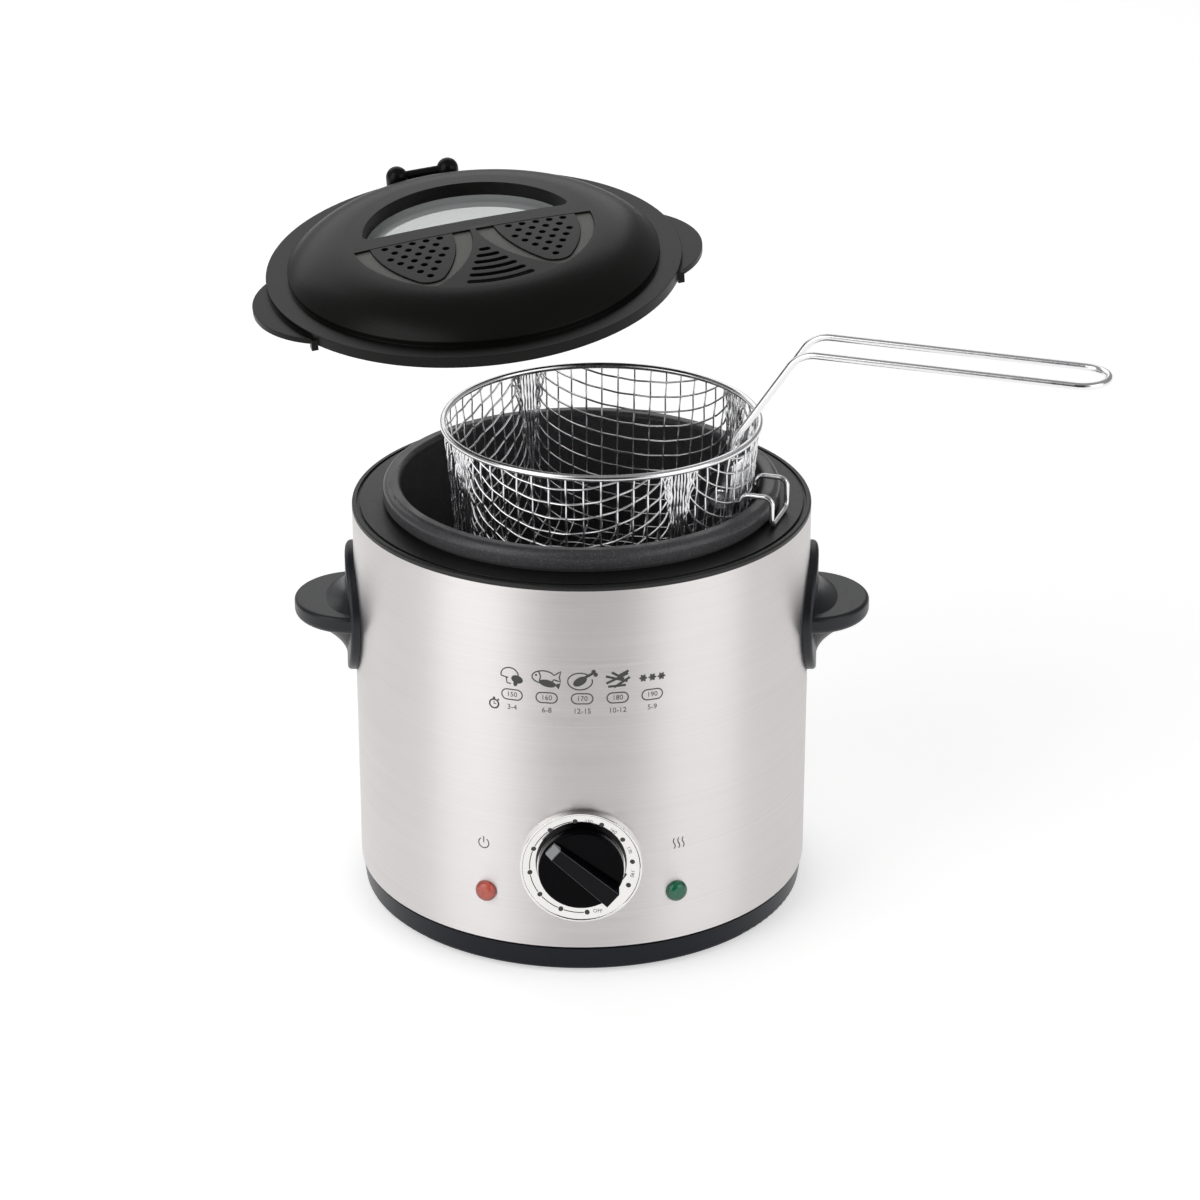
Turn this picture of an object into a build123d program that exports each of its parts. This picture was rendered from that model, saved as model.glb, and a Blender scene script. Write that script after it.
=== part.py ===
from build123d import *
import os
from math import cos, degrees, radians, sin, sqrt, tan

os.makedirs("parts", exist_ok=True)

# Round table-top deep fryer. Millimetres, +Z up, the control dial faces -Y.
# The origin lies on the worktop, on the axis of the round body.

# Driving dimensions: outer body
body_radius = 105.0
steel_wall = 0.6
steel_height = 175.0
steel_hem = 4.0
foot_height = 2.0
base_ring_height = 12.6
base_taper = 2.0
base_top_inset = 0.6
base_edge_round = 2.0
shadow_gap = 1.2
shadow_depth = 1.2
base_floor = 2.5
base_lip_wall = 2.2
base_lip_height = 5.4

# Driving dimensions: clearances
fit_gap = 0.3
hole_gap = 0.1
running_gap = 0.05

# Driving dimensions: top collar
collar_thick = 2.2
collar_inner_gap = 0.8
collar_lip_wall = 2.2
collar_lip_depth = 8.0
collar_bead_width = 2.2
collar_groove_width = 1.4
collar_groove_depth = 1.2
collar_edge_round = 0.9

# Driving dimensions: cooking pot
jacket_gap = 20.2
pot_taper = 2.0
pot_wall = 1.6
pot_depth = 107.0
pot_corner = 12.0
pot_rim_width = 6.5
pot_rim_lift = 9.8
pot_rim_drop = 7.8
pot_rim_round = 3.6
pot_rim_inner_round = 2.2
seal_width = 3.6

# Driving dimensions: tie rods, foot ring and centre bolt
tie_count = 4
tie_start = 45.0
tie_radius = 2.0
tie_head_radius = 3.6
tie_head_height = 2.4
tie_boss_radius = 5.0
tie_boss_gap = 0.5
tie_boss_height = 10.0
tie_socket_depth = 16.0
tie_socket_roof = 4.0
foot_ring_inset = 19.0
foot_ring_width = 10.0
foot_tongue_width = 4.0
foot_tongue_height = 1.4
centre_bolt_radius = 2.5
centre_bolt_head_radius = 4.5
centre_bolt_head_height = 3.5
centre_boss_radius = 11.0
centre_boss_height = 10.0
centre_bolt_engagement = 5.0
vent_slot_count = 12
vent_slot_circle_radius = 48.0
vent_slot_length = 18.0
vent_slot_width = 2.6

# Driving dimensions: heater under the pot
heater_radius = 52.0
heater_thick = 8.0
element_circle_radius = 41.0
element_radius = 3.25
element_sweep = 320.0
element_pin_length = 26.0
shield_radius = 56.0
shield_thick = 0.8
shield_drop = 12.0
shield_rim = 5.0
spacer_radius = 5.0
cutout_radius = 8.0
cutout_height = 9.0
cutout_circle_radius = 24.0
cutout_angle = 200.0
cutout_blade = (0.8, 6.3, 8.0)

# Driving dimensions: control dial and thermostat
dial_height = 56.7
bezel_radius = 27.3
bezel_lip = 3.2
bezel_lip_width = 1.2
bezel_lip_step = 0.5
bezel_lip_round = 0.4
bezel_dish_angle = 10.0
bezel_knob_gap = 0.5
bezel_bore = 15.0
bezel_stud_radius = 1.5
bezel_stud_circle_radius = 22.0
knob_radius = 19.15
knob_thick = 3.8
knob_lift = 0.6
knob_edge_round = 1.0
knob_bar_tip = 14.4
knob_bar_tail = 18.7
knob_bar_tip_width = 6.2
knob_bar_tail_width = 8.4
knob_bar_tip_height = 3.2
knob_bar_tail_height = 6.0
knob_mark_length = 3.6
knob_mark_end_height = 1.4
knob_pointer_angle = 140.0
knob_socket_depth = 4.6
shaft_radius = 3.0
shaft_hole_radius = 4.5
shaft_engagement = 10.0
bracket_setback = 5.2
bracket_thick = 1.2
bracket_width = 36.0
bracket_height = 54.0
bracket_leg_radius = 4.0
nut_radius = 3.2
nut_height = 2.4
thermostat_size = (34.0, 24.0, 32.0)
thermostat_blade = (6.3, 8.0, 0.8)
thermostat_blade_spread = 9.0
capillary_radius = 0.9
capillary_rise = 12.0
capillary_side = 8.0
capillary_bend = 4.0
bulb_radius = 2.4
bulb_length = 36.0
bulb_gap = 5.6

# Driving dimensions: indicator lamps
lamp_angle = 24.0
lamp_height = 39.0
lamp_radius = 5.0
lamp_proud = 3.4
lamp_lip = 0.3
lamp_body_radius = 3.4
lamp_body_length = 18.0
lamp_clip_radius = 5.4
lamp_clip_thick = 1.2
lamp_lead_radius = 0.9
lamp_lead_length = 12.0
lamp_lead_spread = 1.5

# Driving dimensions: side handles
handle_reach = 28.0
handle_half_width = 28.5
handle_top = 142.5
handle_thick = 8.5
handle_round = 3.0
handle_top_round = 1.8
handle_plate_mid = 137.3
handle_plate_height = 61.0
handle_plate_half_width = 29.5
handle_plate_thick = 4.0
handle_plate_round = 9.0
handle_plate_edge = 1.8
blend_inset = 3.6
blend_overlap = 0.8
blend_drop = 22.0
blend_rise = 12.0
blend_rise_reach = 15.0
blend_foot = 4.2
blend_foot_half_width = 12.0
blend_steps = 4
blend_power = 2.4
handle_screw_radius = 2.0
handle_screw_spacing = 40.0
handle_screw_depth = 3.0
handle_screw_head_radius = 3.8
handle_screw_head_height = 2.2

# Driving dimensions: mains inlet and wiring block
gland_height = 34.0
gland_bore = 3.6
gland_neck_radius = 6.0
gland_flange_radius = 9.0
gland_flange_thick = 3.0
gland_collar_length = 7.0
gland_collar_radius = 7.0
gland_nut_thick = 4.0
gland_nut_gap = 0.8
gland_inner_length = 8.0
terminal_size = (34.0, 18.0, 15.0)
terminal_inset = 43.0
terminal_ways = 3
terminal_pitch = 10.0
terminal_hole_radius = 2.2

# Driving dimensions: lid, held in the air as it is lifted off
lid_place = (-48.9, 38.7, 287.1)
lid_yaw = 16.6
lid_roll = 3.3
lid_pitch = 7.8
lid_skirt_gap = 0.8
lid_skirt_wall = 3.5
lid_flange_height = 5.0
lid_dome_inset = 10.0
lid_dome_step = 2.4
lid_dome_rise = 17.0
lid_crown_drop = 1.6
lid_crown_radius = 58.0
lid_wall = 2.4
lid_tab_reach = 9.5
lid_tab_front = 45.0
lid_tab_back = 21.0
lid_tab_thick = 2.6
lid_tab_nub = (3.0, 4.0, 5.0)
lid_lug_radius = 5.2
lid_lug_spacing = 25.0
lid_lug_overhang = 6.0
lid_lug_bar_radius = 2.2
window_radius = 49.5
window_edge = 7.0
window_corner = 4.0
window_well_wall = 2.0
window_well_depth = 12.5
window_ledge = 3.0
window_ledge_thick = 1.6
window_seal_thick = 0.8
window_pane_thick = 2.6
petal_top = -3.0
petal_inner = 1.2
petal_corner_inset = 2.4
petal_tip_inset = 0.3
petal_tip_angle = -60.0
petal_bow_inset = 1.5
petal_bow_angle = -30.9
petal_inner_bow_inset = 24.3
petal_inner_bow_angle = -71.8
petal_tip_round = 5.0
field_inner = 9.7
field_corner_inset = 9.9
field_tip_inset = 0.8
field_tip_angle = -59.8
field_bow_inset = 6.3
field_bow_angle = -34.1
field_inner_bow_inset = 25.1
field_inner_bow_angle = -61.9
field_tip_round = 8.0
petal_sink = 0.8
petal_thick = 1.4
field_sink = 0.1
field_thick = 2.8
vent_hole_radius = 1.6
vent_hole_pitch = 6.4
vent_hole_border = 1.3
fan_centre = -10.0
fan_slot_count = 6
fan_slot_first = 14.5
fan_slot_pitch = 5.9
fan_slot_length = 2.5
fan_slot_growth = 5.2
fan_slot_width = 3.0
filter_radius = 55.0
filter_edge = 2.5
filter_thick = 5.0
filter_tray_floor = 1.4
filter_tray_wall = 1.4
filter_tray_drop = 12.5
filter_boss_radius = 3.5
filter_boss_circle_radius = 64.0
filter_boss_angle = 35.0
filter_boss_root = 1.8
filter_slot_share = 0.7
filter_screw_radius = 1.4
filter_screw_head_radius = 2.8
filter_screw_head_height = 1.6
filter_slot_count = 9
filter_slot_pitch = 10.0
filter_slot_width = 3.0

# Driving dimensions: frying basket, hung by its hook on the pot rim
basket_offset = 9.5
basket_turn = -18.0
basket_rim_gap = 10.9
basket_rim_wire = 1.5
basket_hang = 27.0
basket_depth = 83.0
basket_flare = 6.7
basket_corner = 9.0
basket_wall = 1.0
basket_bar = 2.0
basket_columns = 24
basket_rows = 5
basket_floor_cells = 7
hook_wire = 1.2
hook_half_width = 12.5
hook_rim_gap = 2.8
hook_lift = 4.0
hook_leg = 24.0
hook_bend = 3.5
bracket_strap_thick = 1.2
bracket_strap_angle = 32.0
bracket_strap_top = 8.0
bracket_strap_bottom = 46.0
eye_lug_thick = 1.6
eye_lug_row = 16.0
eye_lug_size = 4.2
grip_wire = 1.6
grip_half_width = 12.5
grip_pivot_inset = 11.2
grip_pivot_depth = 25.0
grip_pin_length = 6.6
grip_neck_inset = 4.7
grip_neck_height = 4.0
grip_rise_reach = 23.3
grip_bend_height = 46.5
grip_length = 134.0
grip_end_height = 45.5
grip_pin_bend = 2.6
grip_neck_bend = 16.0
grip_riser_bend = 14.0
grip_end_bend = 12.3

# Heights and radii that follow from the driving dimensions
base_bottom = foot_height
base_floor_top = base_bottom + base_floor
steel_bottom = base_bottom + base_ring_height
steel_top = steel_bottom + steel_height
collar_top = steel_top + collar_thick
pot_top = collar_top + pot_rim_lift
pot_floor_top = pot_top - pot_depth
pot_bottom = pot_floor_top - pot_wall
heater_bottom = pot_bottom - heater_thick
shield_top = heater_bottom - shield_drop
base_foot_radius = body_radius - base_taper
hem_inner = body_radius - steel_hem
steel_inner = body_radius - steel_wall
pot_inner_radius = steel_inner - jacket_gap - pot_wall
tie_circle_radius = hem_inner - fit_gap - base_lip_wall - tie_boss_gap - tie_boss_radius
foot_ring_outer = body_radius - foot_ring_inset
foot_ring_inner = foot_ring_outer - foot_ring_width
foot_ring_middle = (foot_ring_outer + foot_ring_inner) / 2
pot_outer_radius = pot_inner_radius + pot_wall
pot_rim_radius = pot_outer_radius + pot_rim_width
collar_inner = pot_outer_radius + collar_inner_gap
lid_radius = pot_rim_radius + lid_skirt_gap + lid_skirt_wall
up = Vector(0, 0, 1)


def radial_plane(angle, radius, height):
    """Plane that faces outwards from the body's axis, its second axis upright."""
    outward = Vector(cos(radians(angle)), sin(radians(angle)), 0)
    return Plane(origin=outward * radius + up * height, x_dir=up.cross(outward), z_dir=outward)


def front_plane(depth, turn=0.0):
    """Plane on the dial's axis that faces the user, turned about that axis."""
    across = (cos(radians(turn)), 0, sin(radians(turn)))
    return Plane(origin=(0, -depth, dial_height), x_dir=across, z_dir=(0, -1, 0))


def save(builder, label):
    """Name a finished piece and write it out."""
    builder.part.label = label
    export_step(builder.part, f"parts/{label}.step")


# Base: a moulded tray that carries the steel sleeve
base_lip_outer = hem_inner - fit_gap
centre_boss_top = base_bottom + centre_boss_height

with BuildPart() as base:
    with BuildSketch(Plane.XZ):
        with BuildLine():
            Polyline(
                (0, base_bottom),
                (base_foot_radius, base_bottom),
                (body_radius - base_top_inset, steel_bottom - shadow_gap),
                (body_radius - base_top_inset - shadow_depth, steel_bottom - shadow_gap),
                (body_radius - base_top_inset - shadow_depth, steel_bottom),
                (base_lip_outer, steel_bottom),
                (base_lip_outer, steel_bottom + base_lip_height),
                (base_lip_outer - base_lip_wall, steel_bottom + base_lip_height),
                (base_lip_outer - base_lip_wall, base_floor_top),
                (0, base_floor_top),
                close=True,
            )
        make_face()
    revolve(axis=Axis.Z)
    fillet(base.edges().group_by(Axis.Z)[0], base_edge_round)
    with BuildSketch(Plane.XY.offset(base_bottom)):
        Circle(centre_boss_radius)
    extrude(amount=centre_boss_height)
    with BuildSketch(Plane.XY.offset(base_bottom)):
        with PolarLocations(tie_circle_radius, tie_count, tie_start):
            Circle(tie_boss_radius)
    extrude(amount=tie_boss_height)
    with BuildSketch(Plane.XY.offset(base_bottom)):
        Circle(centre_bolt_radius + hole_gap)
        with PolarLocations(tie_circle_radius, tie_count, tie_start):
            Circle(tie_radius + hole_gap)
        with PolarLocations(vent_slot_circle_radius, vent_slot_count):
            SlotOverall(vent_slot_length, vent_slot_width)
    extrude(amount=centre_boss_height, mode=Mode.SUBTRACT)
    with BuildSketch(Plane.XY.offset(base_bottom)):
        with PolarLocations(tie_circle_radius, tie_count, tie_start):
            Circle(tie_head_radius + hole_gap)
    extrude(amount=tie_head_height + hole_gap, mode=Mode.SUBTRACT)
    with BuildSketch(Plane.XY.offset(base_bottom)):
        Circle(centre_bolt_head_radius + hole_gap)
    extrude(amount=centre_bolt_head_height + hole_gap, mode=Mode.SUBTRACT)
    groove_half = foot_tongue_width / 2 + running_gap
    with BuildSketch(Plane.XY.offset(base_bottom)):
        Circle(foot_ring_middle + groove_half)
        Circle(foot_ring_middle - groove_half, mode=Mode.SUBTRACT)
    extrude(amount=foot_tongue_height + running_gap, mode=Mode.SUBTRACT)
save(base, "base")

# Rubber foot ring, its tongue pressed into a groove under the base
with BuildPart() as rubber_foot:
    with BuildSketch():
        Circle(foot_ring_outer)
        Circle(foot_ring_inner, mode=Mode.SUBTRACT)
    extrude(amount=foot_height)
    with BuildSketch(Plane.XY.offset(foot_height)):
        Circle(foot_ring_middle + foot_tongue_width / 2)
        Circle(foot_ring_middle - foot_tongue_width / 2, mode=Mode.SUBTRACT)
    extrude(amount=foot_tongue_height)
save(rubber_foot, "rubber_foot")

# Steel sleeve with its two inward hems and the holes for what passes through it
screw_heights = (handle_plate_mid - handle_screw_spacing / 2, handle_plate_mid + handle_screw_spacing / 2)
hole_reach = 2 * steel_hem

with BuildPart() as outer_shell:
    with BuildSketch(Plane.XZ):
        with BuildLine():
            Polyline(
                (hem_inner, steel_bottom),
                (body_radius, steel_bottom),
                (body_radius, steel_top),
                (hem_inner, steel_top),
                (hem_inner, steel_top - steel_wall),
                (steel_inner, steel_top - steel_wall),
                (steel_inner, steel_bottom + steel_wall),
                (hem_inner, steel_bottom + steel_wall),
                close=True,
            )
        make_face()
    revolve(axis=Axis.Z)
    with BuildSketch(front_plane(hem_inner)):
        Circle(shaft_hole_radius)
        with PolarLocations(bezel_stud_circle_radius, 2, 90):
            Circle(bezel_stud_radius + hole_gap)
    extrude(amount=hole_reach, mode=Mode.SUBTRACT)
    for side in (-1, 1):
        with BuildSketch(radial_plane(-90 + side * lamp_angle, hem_inner, lamp_height)):
            Circle(lamp_body_radius + hole_gap)
        extrude(amount=hole_reach, mode=Mode.SUBTRACT)
    for side_angle in (0, 180):
        for height in screw_heights:
            with BuildSketch(radial_plane(side_angle, hem_inner, height)):
                Circle(handle_screw_radius + hole_gap)
            extrude(amount=hole_reach, mode=Mode.SUBTRACT)
    with BuildSketch(radial_plane(90, hem_inner, gland_height)):
        Circle(gland_neck_radius + hole_gap)
    extrude(amount=hole_reach, mode=Mode.SUBTRACT)
save(outer_shell, "outer_shell")

# Top collar: a moulded ring with an outer bead, a groove and bosses for the tie rods
collar_lip_outer = hem_inner - fit_gap
groove_outer = body_radius - collar_bead_width
groove_inner = groove_outer - collar_groove_width
tie_socket_top = steel_top - tie_socket_roof
with BuildPart() as top_collar:
    with BuildSketch(Plane.XZ):
        with BuildLine():
            Polyline(
                (collar_inner, steel_top - collar_lip_depth),
                (collar_inner + collar_lip_wall, steel_top - collar_lip_depth),
                (collar_inner + collar_lip_wall, steel_top),
                (collar_lip_outer - collar_lip_wall, steel_top),
                (collar_lip_outer - collar_lip_wall, steel_top - collar_lip_depth),
                (collar_lip_outer, steel_top - collar_lip_depth),
                (collar_lip_outer, steel_top),
                (body_radius, steel_top),
                (body_radius, collar_top),
                (groove_outer, collar_top),
                (groove_outer, collar_top - collar_groove_depth),
                (groove_inner, collar_top - collar_groove_depth),
                (groove_inner, collar_top),
                (collar_inner, collar_top),
                close=True,
            )
        make_face()
    revolve(axis=Axis.Z)
    fillet(top_collar.edges().filter_by(GeomType.CIRCLE).group_by(SortBy.RADIUS)[-1].sort_by(Axis.Z)[-1],
           collar_edge_round)
    with BuildSketch(Plane.XY.offset(steel_top)):
        with PolarLocations(tie_circle_radius, tie_count, tie_start):
            Circle(tie_boss_radius)
    extrude(amount=-tie_socket_depth - tie_socket_roof)
    with BuildSketch(Plane.XY.offset(tie_socket_top)):
        with PolarLocations(tie_circle_radius, tie_count, tie_start):
            Circle(tie_radius + hole_gap)
    extrude(amount=-tie_socket_depth, mode=Mode.SUBTRACT)
save(top_collar, "top_collar")

# Tie rods that clamp the collar, the sleeve and the base together
with BuildPart() as tie_rods:
    with BuildSketch(Plane.XY.offset(base_bottom)):
        with PolarLocations(tie_circle_radius, tie_count, tie_start):
            Circle(tie_head_radius)
    extrude(amount=tie_head_height)
    with BuildSketch(Plane.XY.offset(base_bottom + tie_head_height)):
        with PolarLocations(tie_circle_radius, tie_count, tie_start):
            Circle(tie_radius)
    extrude(amount=tie_socket_top - fit_gap - base_bottom - tie_head_height)
save(tie_rods, "tie_rods")

# Cooking pot with its rolled rim
pot_floor_radius = pot_inner_radius - pot_taper
with BuildPart() as pot:
    with BuildSketch(Plane.XZ) as pot_section:
        with BuildLine():
            Polyline(
                (0, pot_bottom),
                (pot_floor_radius + pot_wall, pot_bottom),
                (pot_outer_radius, pot_top - pot_wall),
                (pot_rim_radius - pot_wall, pot_top - pot_wall),
                (pot_rim_radius - pot_wall, pot_top - pot_rim_drop),
                (pot_rim_radius, pot_top - pot_rim_drop),
                (pot_rim_radius, pot_top),
                (pot_inner_radius, pot_top),
                (pot_floor_radius, pot_floor_top),
                (0, pot_floor_top),
                close=True,
            )
        make_face()
        for height, place, radius in (
            (pot_bottom, -1, pot_corner + pot_wall),
            (pot_floor_top, -1, pot_corner),
            (pot_top, -1, pot_rim_round),
            (pot_top, 0, pot_rim_inner_round),
        ):
            level = pot_section.vertices().filter_by(lambda v: abs(v.Y - height) < hole_gap)
            fillet(level.sort_by(Axis.X)[place], radius)
    revolve(axis=Axis.Z)
save(pot, "pot")

# Seal ring between the rolled rim and the collar
with BuildPart() as pot_seal:
    with BuildSketch(Plane.XY.offset(collar_top)):
        Circle(collar_inner + seal_width)
        Circle(collar_inner, mode=Mode.SUBTRACT)
    extrude(amount=pot_top - pot_wall - collar_top)
save(pot_seal, "pot_seal")

# Aluminium heater plate with the groove for the heating element
with BuildPart() as heater_plate:
    with BuildSketch(Plane.XY.offset(heater_bottom)):
        Circle(heater_radius)
    extrude(amount=heater_thick)
    with BuildSketch(Plane.XY.offset(heater_bottom)):
        Circle(element_circle_radius + element_radius + hole_gap)
        Circle(element_circle_radius - element_radius - hole_gap, mode=Mode.SUBTRACT)
    extrude(amount=2 * element_radius + hole_gap, mode=Mode.SUBTRACT)
    with BuildSketch(Plane.XY.offset(heater_bottom)):
        Circle(centre_bolt_radius + hole_gap)
    extrude(amount=centre_bolt_engagement + fit_gap, mode=Mode.SUBTRACT)
save(heater_plate, "heater_plate")

# Heating element: a ring of tube whose two ends turn down to their pins
element_height = heater_bottom + element_radius
element_start = Plane(origin=(0, 0, element_height), x_dir=(1, 0, 0), z_dir=(0, -1, 0))
pin_angles = (0, element_sweep)
pin_spots = [(Rot(0, 0, angle) * Pos(element_circle_radius, 0)).position for angle in pin_angles]
with BuildPart() as heating_element:
    with BuildSketch(element_start):
        with Locations((element_circle_radius, 0)):
            Circle(element_radius)
    revolve(axis=Axis.Z, revolution_arc=element_sweep)
    with BuildSketch(Plane.XY.offset(element_height)):
        with Locations(*pin_spots):
            Circle(element_radius)
    extrude(amount=-element_pin_length)
save(heating_element, "heating_element")

# Heat shield: a shallow dish below the element
shield_bottom = shield_top - shield_thick
with BuildPart() as heat_shield:
    with BuildSketch(Plane.XY.offset(shield_bottom)):
        Circle(shield_radius)
        Circle(centre_bolt_radius + hole_gap, mode=Mode.SUBTRACT)
        with Locations(*pin_spots):
            Circle(element_radius + 2 * fit_gap, mode=Mode.SUBTRACT)
    extrude(amount=shield_thick)
    with BuildSketch(Plane.XY.offset(shield_top)):
        Circle(shield_radius)
        Circle(shield_radius - shield_thick, mode=Mode.SUBTRACT)
    extrude(amount=shield_rim)
save(heat_shield, "heat_shield")

# Spacer tubes on the centre bolt, below and above the shield
with BuildPart() as spacer_tubes:
    for foot, head in ((centre_boss_top, shield_bottom), (shield_top, heater_bottom)):
        with BuildSketch(Plane.XY.offset(foot)):
            Circle(spacer_radius)
            Circle(centre_bolt_radius + hole_gap, mode=Mode.SUBTRACT)
        extrude(amount=head - foot)
save(spacer_tubes, "spacer_tubes")

# Centre bolt that pulls the pot down onto its seal
with BuildPart() as centre_bolt:
    with BuildSketch(Plane.XY.offset(base_bottom)):
        RegularPolygon(centre_bolt_head_radius, 6)
    extrude(amount=centre_bolt_head_height)
    with BuildSketch(Plane.XY.offset(base_bottom + centre_bolt_head_height)):
        Circle(centre_bolt_radius)
    extrude(amount=heater_bottom + centre_bolt_engagement - base_bottom - centre_bolt_head_height)
save(centre_bolt, "centre_bolt")

# Overheat cut-out against the heater plate
cutout_x = cutout_circle_radius * cos(radians(cutout_angle))
cutout_y = cutout_circle_radius * sin(radians(cutout_angle))
with BuildPart() as thermal_cutout:
    with BuildSketch(Plane.XY.offset(heater_bottom)):
        with Locations((cutout_x, cutout_y)):
            Circle(cutout_radius)
    extrude(amount=-cutout_height)
    with BuildSketch(Plane.XY.offset(heater_bottom - cutout_height / 2)):
        with Locations((cutout_x, cutout_y - cutout_radius), (cutout_x, cutout_y + cutout_radius)):
            Rectangle(cutout_blade[1], cutout_blade[2])
    extrude(amount=-cutout_blade[0])
save(thermal_cutout, "thermal_cutout")

# Thermostat: body, bracket, capillary tube with its bulb
bracket_front = steel_inner - bracket_setback
thermostat_front = bracket_front - bracket_thick
thermostat_back = thermostat_front - thermostat_size[1]
bore_end = thermostat_front - shaft_engagement
stud_spots = [(0, bezel_stud_circle_radius), (0, -bezel_stud_circle_radius)]
with BuildPart() as thermostat_bracket:
    with BuildSketch(front_plane(thermostat_front)):
        RectangleRounded(bracket_width, bracket_height, bracket_leg_radius)
    extrude(amount=bracket_thick)
    with BuildSketch(front_plane(bracket_front)):
        with Locations(*stud_spots):
            Circle(bracket_leg_radius)
    extrude(amount=bracket_setback - fit_gap)
    with BuildSketch(front_plane(thermostat_front)):
        with Locations(*stud_spots):
            Circle(bezel_stud_radius + hole_gap)
        Circle(shaft_hole_radius)
    extrude(amount=bracket_thick + bracket_setback, mode=Mode.SUBTRACT)
save(thermostat_bracket, "thermostat_bracket")

with BuildPart() as thermostat_body:
    with BuildSketch(front_plane(thermostat_back)):
        RectangleRounded(thermostat_size[0], thermostat_size[2], bracket_thick)
    extrude(amount=thermostat_size[1])
    with BuildSketch(front_plane(bore_end)):
        Circle(shaft_radius + running_gap)
    extrude(amount=shaft_engagement, mode=Mode.SUBTRACT)
    with BuildSketch(front_plane(thermostat_back)):
        with Locations((0, thermostat_blade_spread), (0, -thermostat_blade_spread)):
            Rectangle(thermostat_blade[0], thermostat_blade[2])
    extrude(amount=-thermostat_blade[1])
save(thermostat_body, "thermostat_body")

capillary_row = (thermostat_front + thermostat_back) / 2
capillary_start = dial_height + thermostat_size[2] / 2
bulb_height = pot_bottom - bulb_radius - hole_gap
bulb_row = heater_radius + bulb_gap + bulb_radius
capillary_points = [
    (capillary_side, -capillary_row, capillary_start),
    (capillary_side, -capillary_row, capillary_start + capillary_rise),
    (capillary_side, -bulb_row, bulb_height),
    (-capillary_side, -bulb_row, bulb_height),
]
with BuildPart() as thermostat_capillary:
    with BuildLine():
        FilletPolyline(*capillary_points, radius=capillary_bend)
    with BuildSketch(Plane(origin=capillary_points[0], z_dir=(0, 0, 1))):
        Circle(capillary_radius)
    sweep()
    with BuildSketch(Plane(origin=capillary_points[-1], z_dir=(-1, 0, 0))):
        Circle(bulb_radius)
    extrude(amount=bulb_length - capillary_side)
save(thermostat_capillary, "thermostat_capillary")

# Dial bezel: a dished ring with a lip, its back curved to the sleeve, held by two studs
bezel_back = body_radius + running_gap
bezel_front = bezel_back + bezel_lip
dish_rim = bezel_radius - bezel_lip_width
dish_top = bezel_front - bezel_lip_step
dish_floor_radius = knob_radius + bezel_knob_gap
dish_floor = dish_top - (dish_rim - dish_floor_radius) * tan(radians(bezel_dish_angle))
stud_end = thermostat_front - 2 * nut_height
with BuildPart() as dial_bezel:
    with BuildSketch(front_plane(0)):
        Circle(bezel_radius)
    extrude(amount=bezel_front)
    with BuildSketch(Plane(origin=(0, 0, dial_height), x_dir=up, z_dir=(1, 0, 0))):
        with BuildLine():
            Polyline(
                (0, dish_floor),
                (dish_floor_radius, dish_floor),
                (dish_rim, dish_top),
                (dish_rim, bezel_front + bezel_lip),
                (0, bezel_front + bezel_lip),
                close=True,
            )
        make_face()
    revolve(axis=Axis((0, 0, dial_height), (0, -1, 0)), mode=Mode.SUBTRACT)
    fillet(dial_bezel.edges().group_by(Axis.Y)[0], bezel_lip_round)
    with BuildSketch(Plane.XY.offset(dial_height - bezel_radius)):
        Circle(bezel_back)
    extrude(amount=2 * bezel_radius, mode=Mode.SUBTRACT)
    with BuildSketch(front_plane(stud_end)):
        with Locations(*stud_spots):
            Circle(bezel_stud_radius)
    extrude(amount=(bezel_back + dish_floor) / 2 - stud_end)
    with BuildSketch(front_plane(0)):
        Circle(bezel_bore)
    extrude(amount=2 * bezel_front, mode=Mode.SUBTRACT)
save(dial_bezel, "dial_bezel")

with BuildPart() as bezel_nuts:
    with BuildSketch(front_plane(thermostat_front)):
        with Locations(*stud_spots):
            RegularPolygon(nut_radius, 6)
            Circle(bezel_stud_radius + hole_gap, mode=Mode.SUBTRACT)
    extrude(amount=-nut_height)
save(bezel_nuts, "bezel_nuts")

# Control knob with its grip bar, its pointer mark and the shaft that it turns
knob_back = dish_floor + knob_lift
knob_face = knob_back + knob_thick
bar_tip = knob_bar_tip_width / 2
bar_tail = knob_bar_tail_width / 2
with BuildPart() as dial_knob:
    with BuildSketch(front_plane(knob_back)):
        Circle(knob_radius)
    extrude(amount=knob_thick)
    fillet(dial_knob.edges().group_by(Axis.Y)[0], knob_edge_round)
    with BuildSketch(front_plane(knob_face - knob_edge_round, knob_pointer_angle)):
        with BuildLine():
            Polyline(
                (knob_bar_tip, -bar_tip),
                (knob_bar_tip, bar_tip),
                (-knob_bar_tail, bar_tail),
                (-knob_bar_tail, -bar_tail),
                close=True,
            )
        make_face()
    extrude(amount=knob_bar_tail_height + knob_edge_round)
    bar_side = front_plane(knob_face, knob_pointer_angle)
    bar_slope = Plane(origin=bar_side.origin, x_dir=bar_side.x_dir, z_dir=bar_side.y_dir * -1)
    with BuildSketch(bar_slope):
        with BuildLine():
            Polyline(
                (-knob_bar_tail - knob_edge_round, knob_bar_tail_height),
                (knob_bar_tip + knob_edge_round, knob_bar_tip_height),
                (knob_bar_tip + knob_edge_round, 2 * knob_bar_tail_height),
                (-knob_bar_tail - knob_edge_round, 2 * knob_bar_tail_height),
                close=True,
            )
        make_face()
    extrude(amount=knob_bar_tail_width, both=True, mode=Mode.SUBTRACT)
    with BuildSketch(front_plane(knob_back)):
        Circle(shaft_radius + running_gap)
    extrude(amount=knob_socket_depth, mode=Mode.SUBTRACT)
save(dial_knob, "dial_knob")

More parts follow.
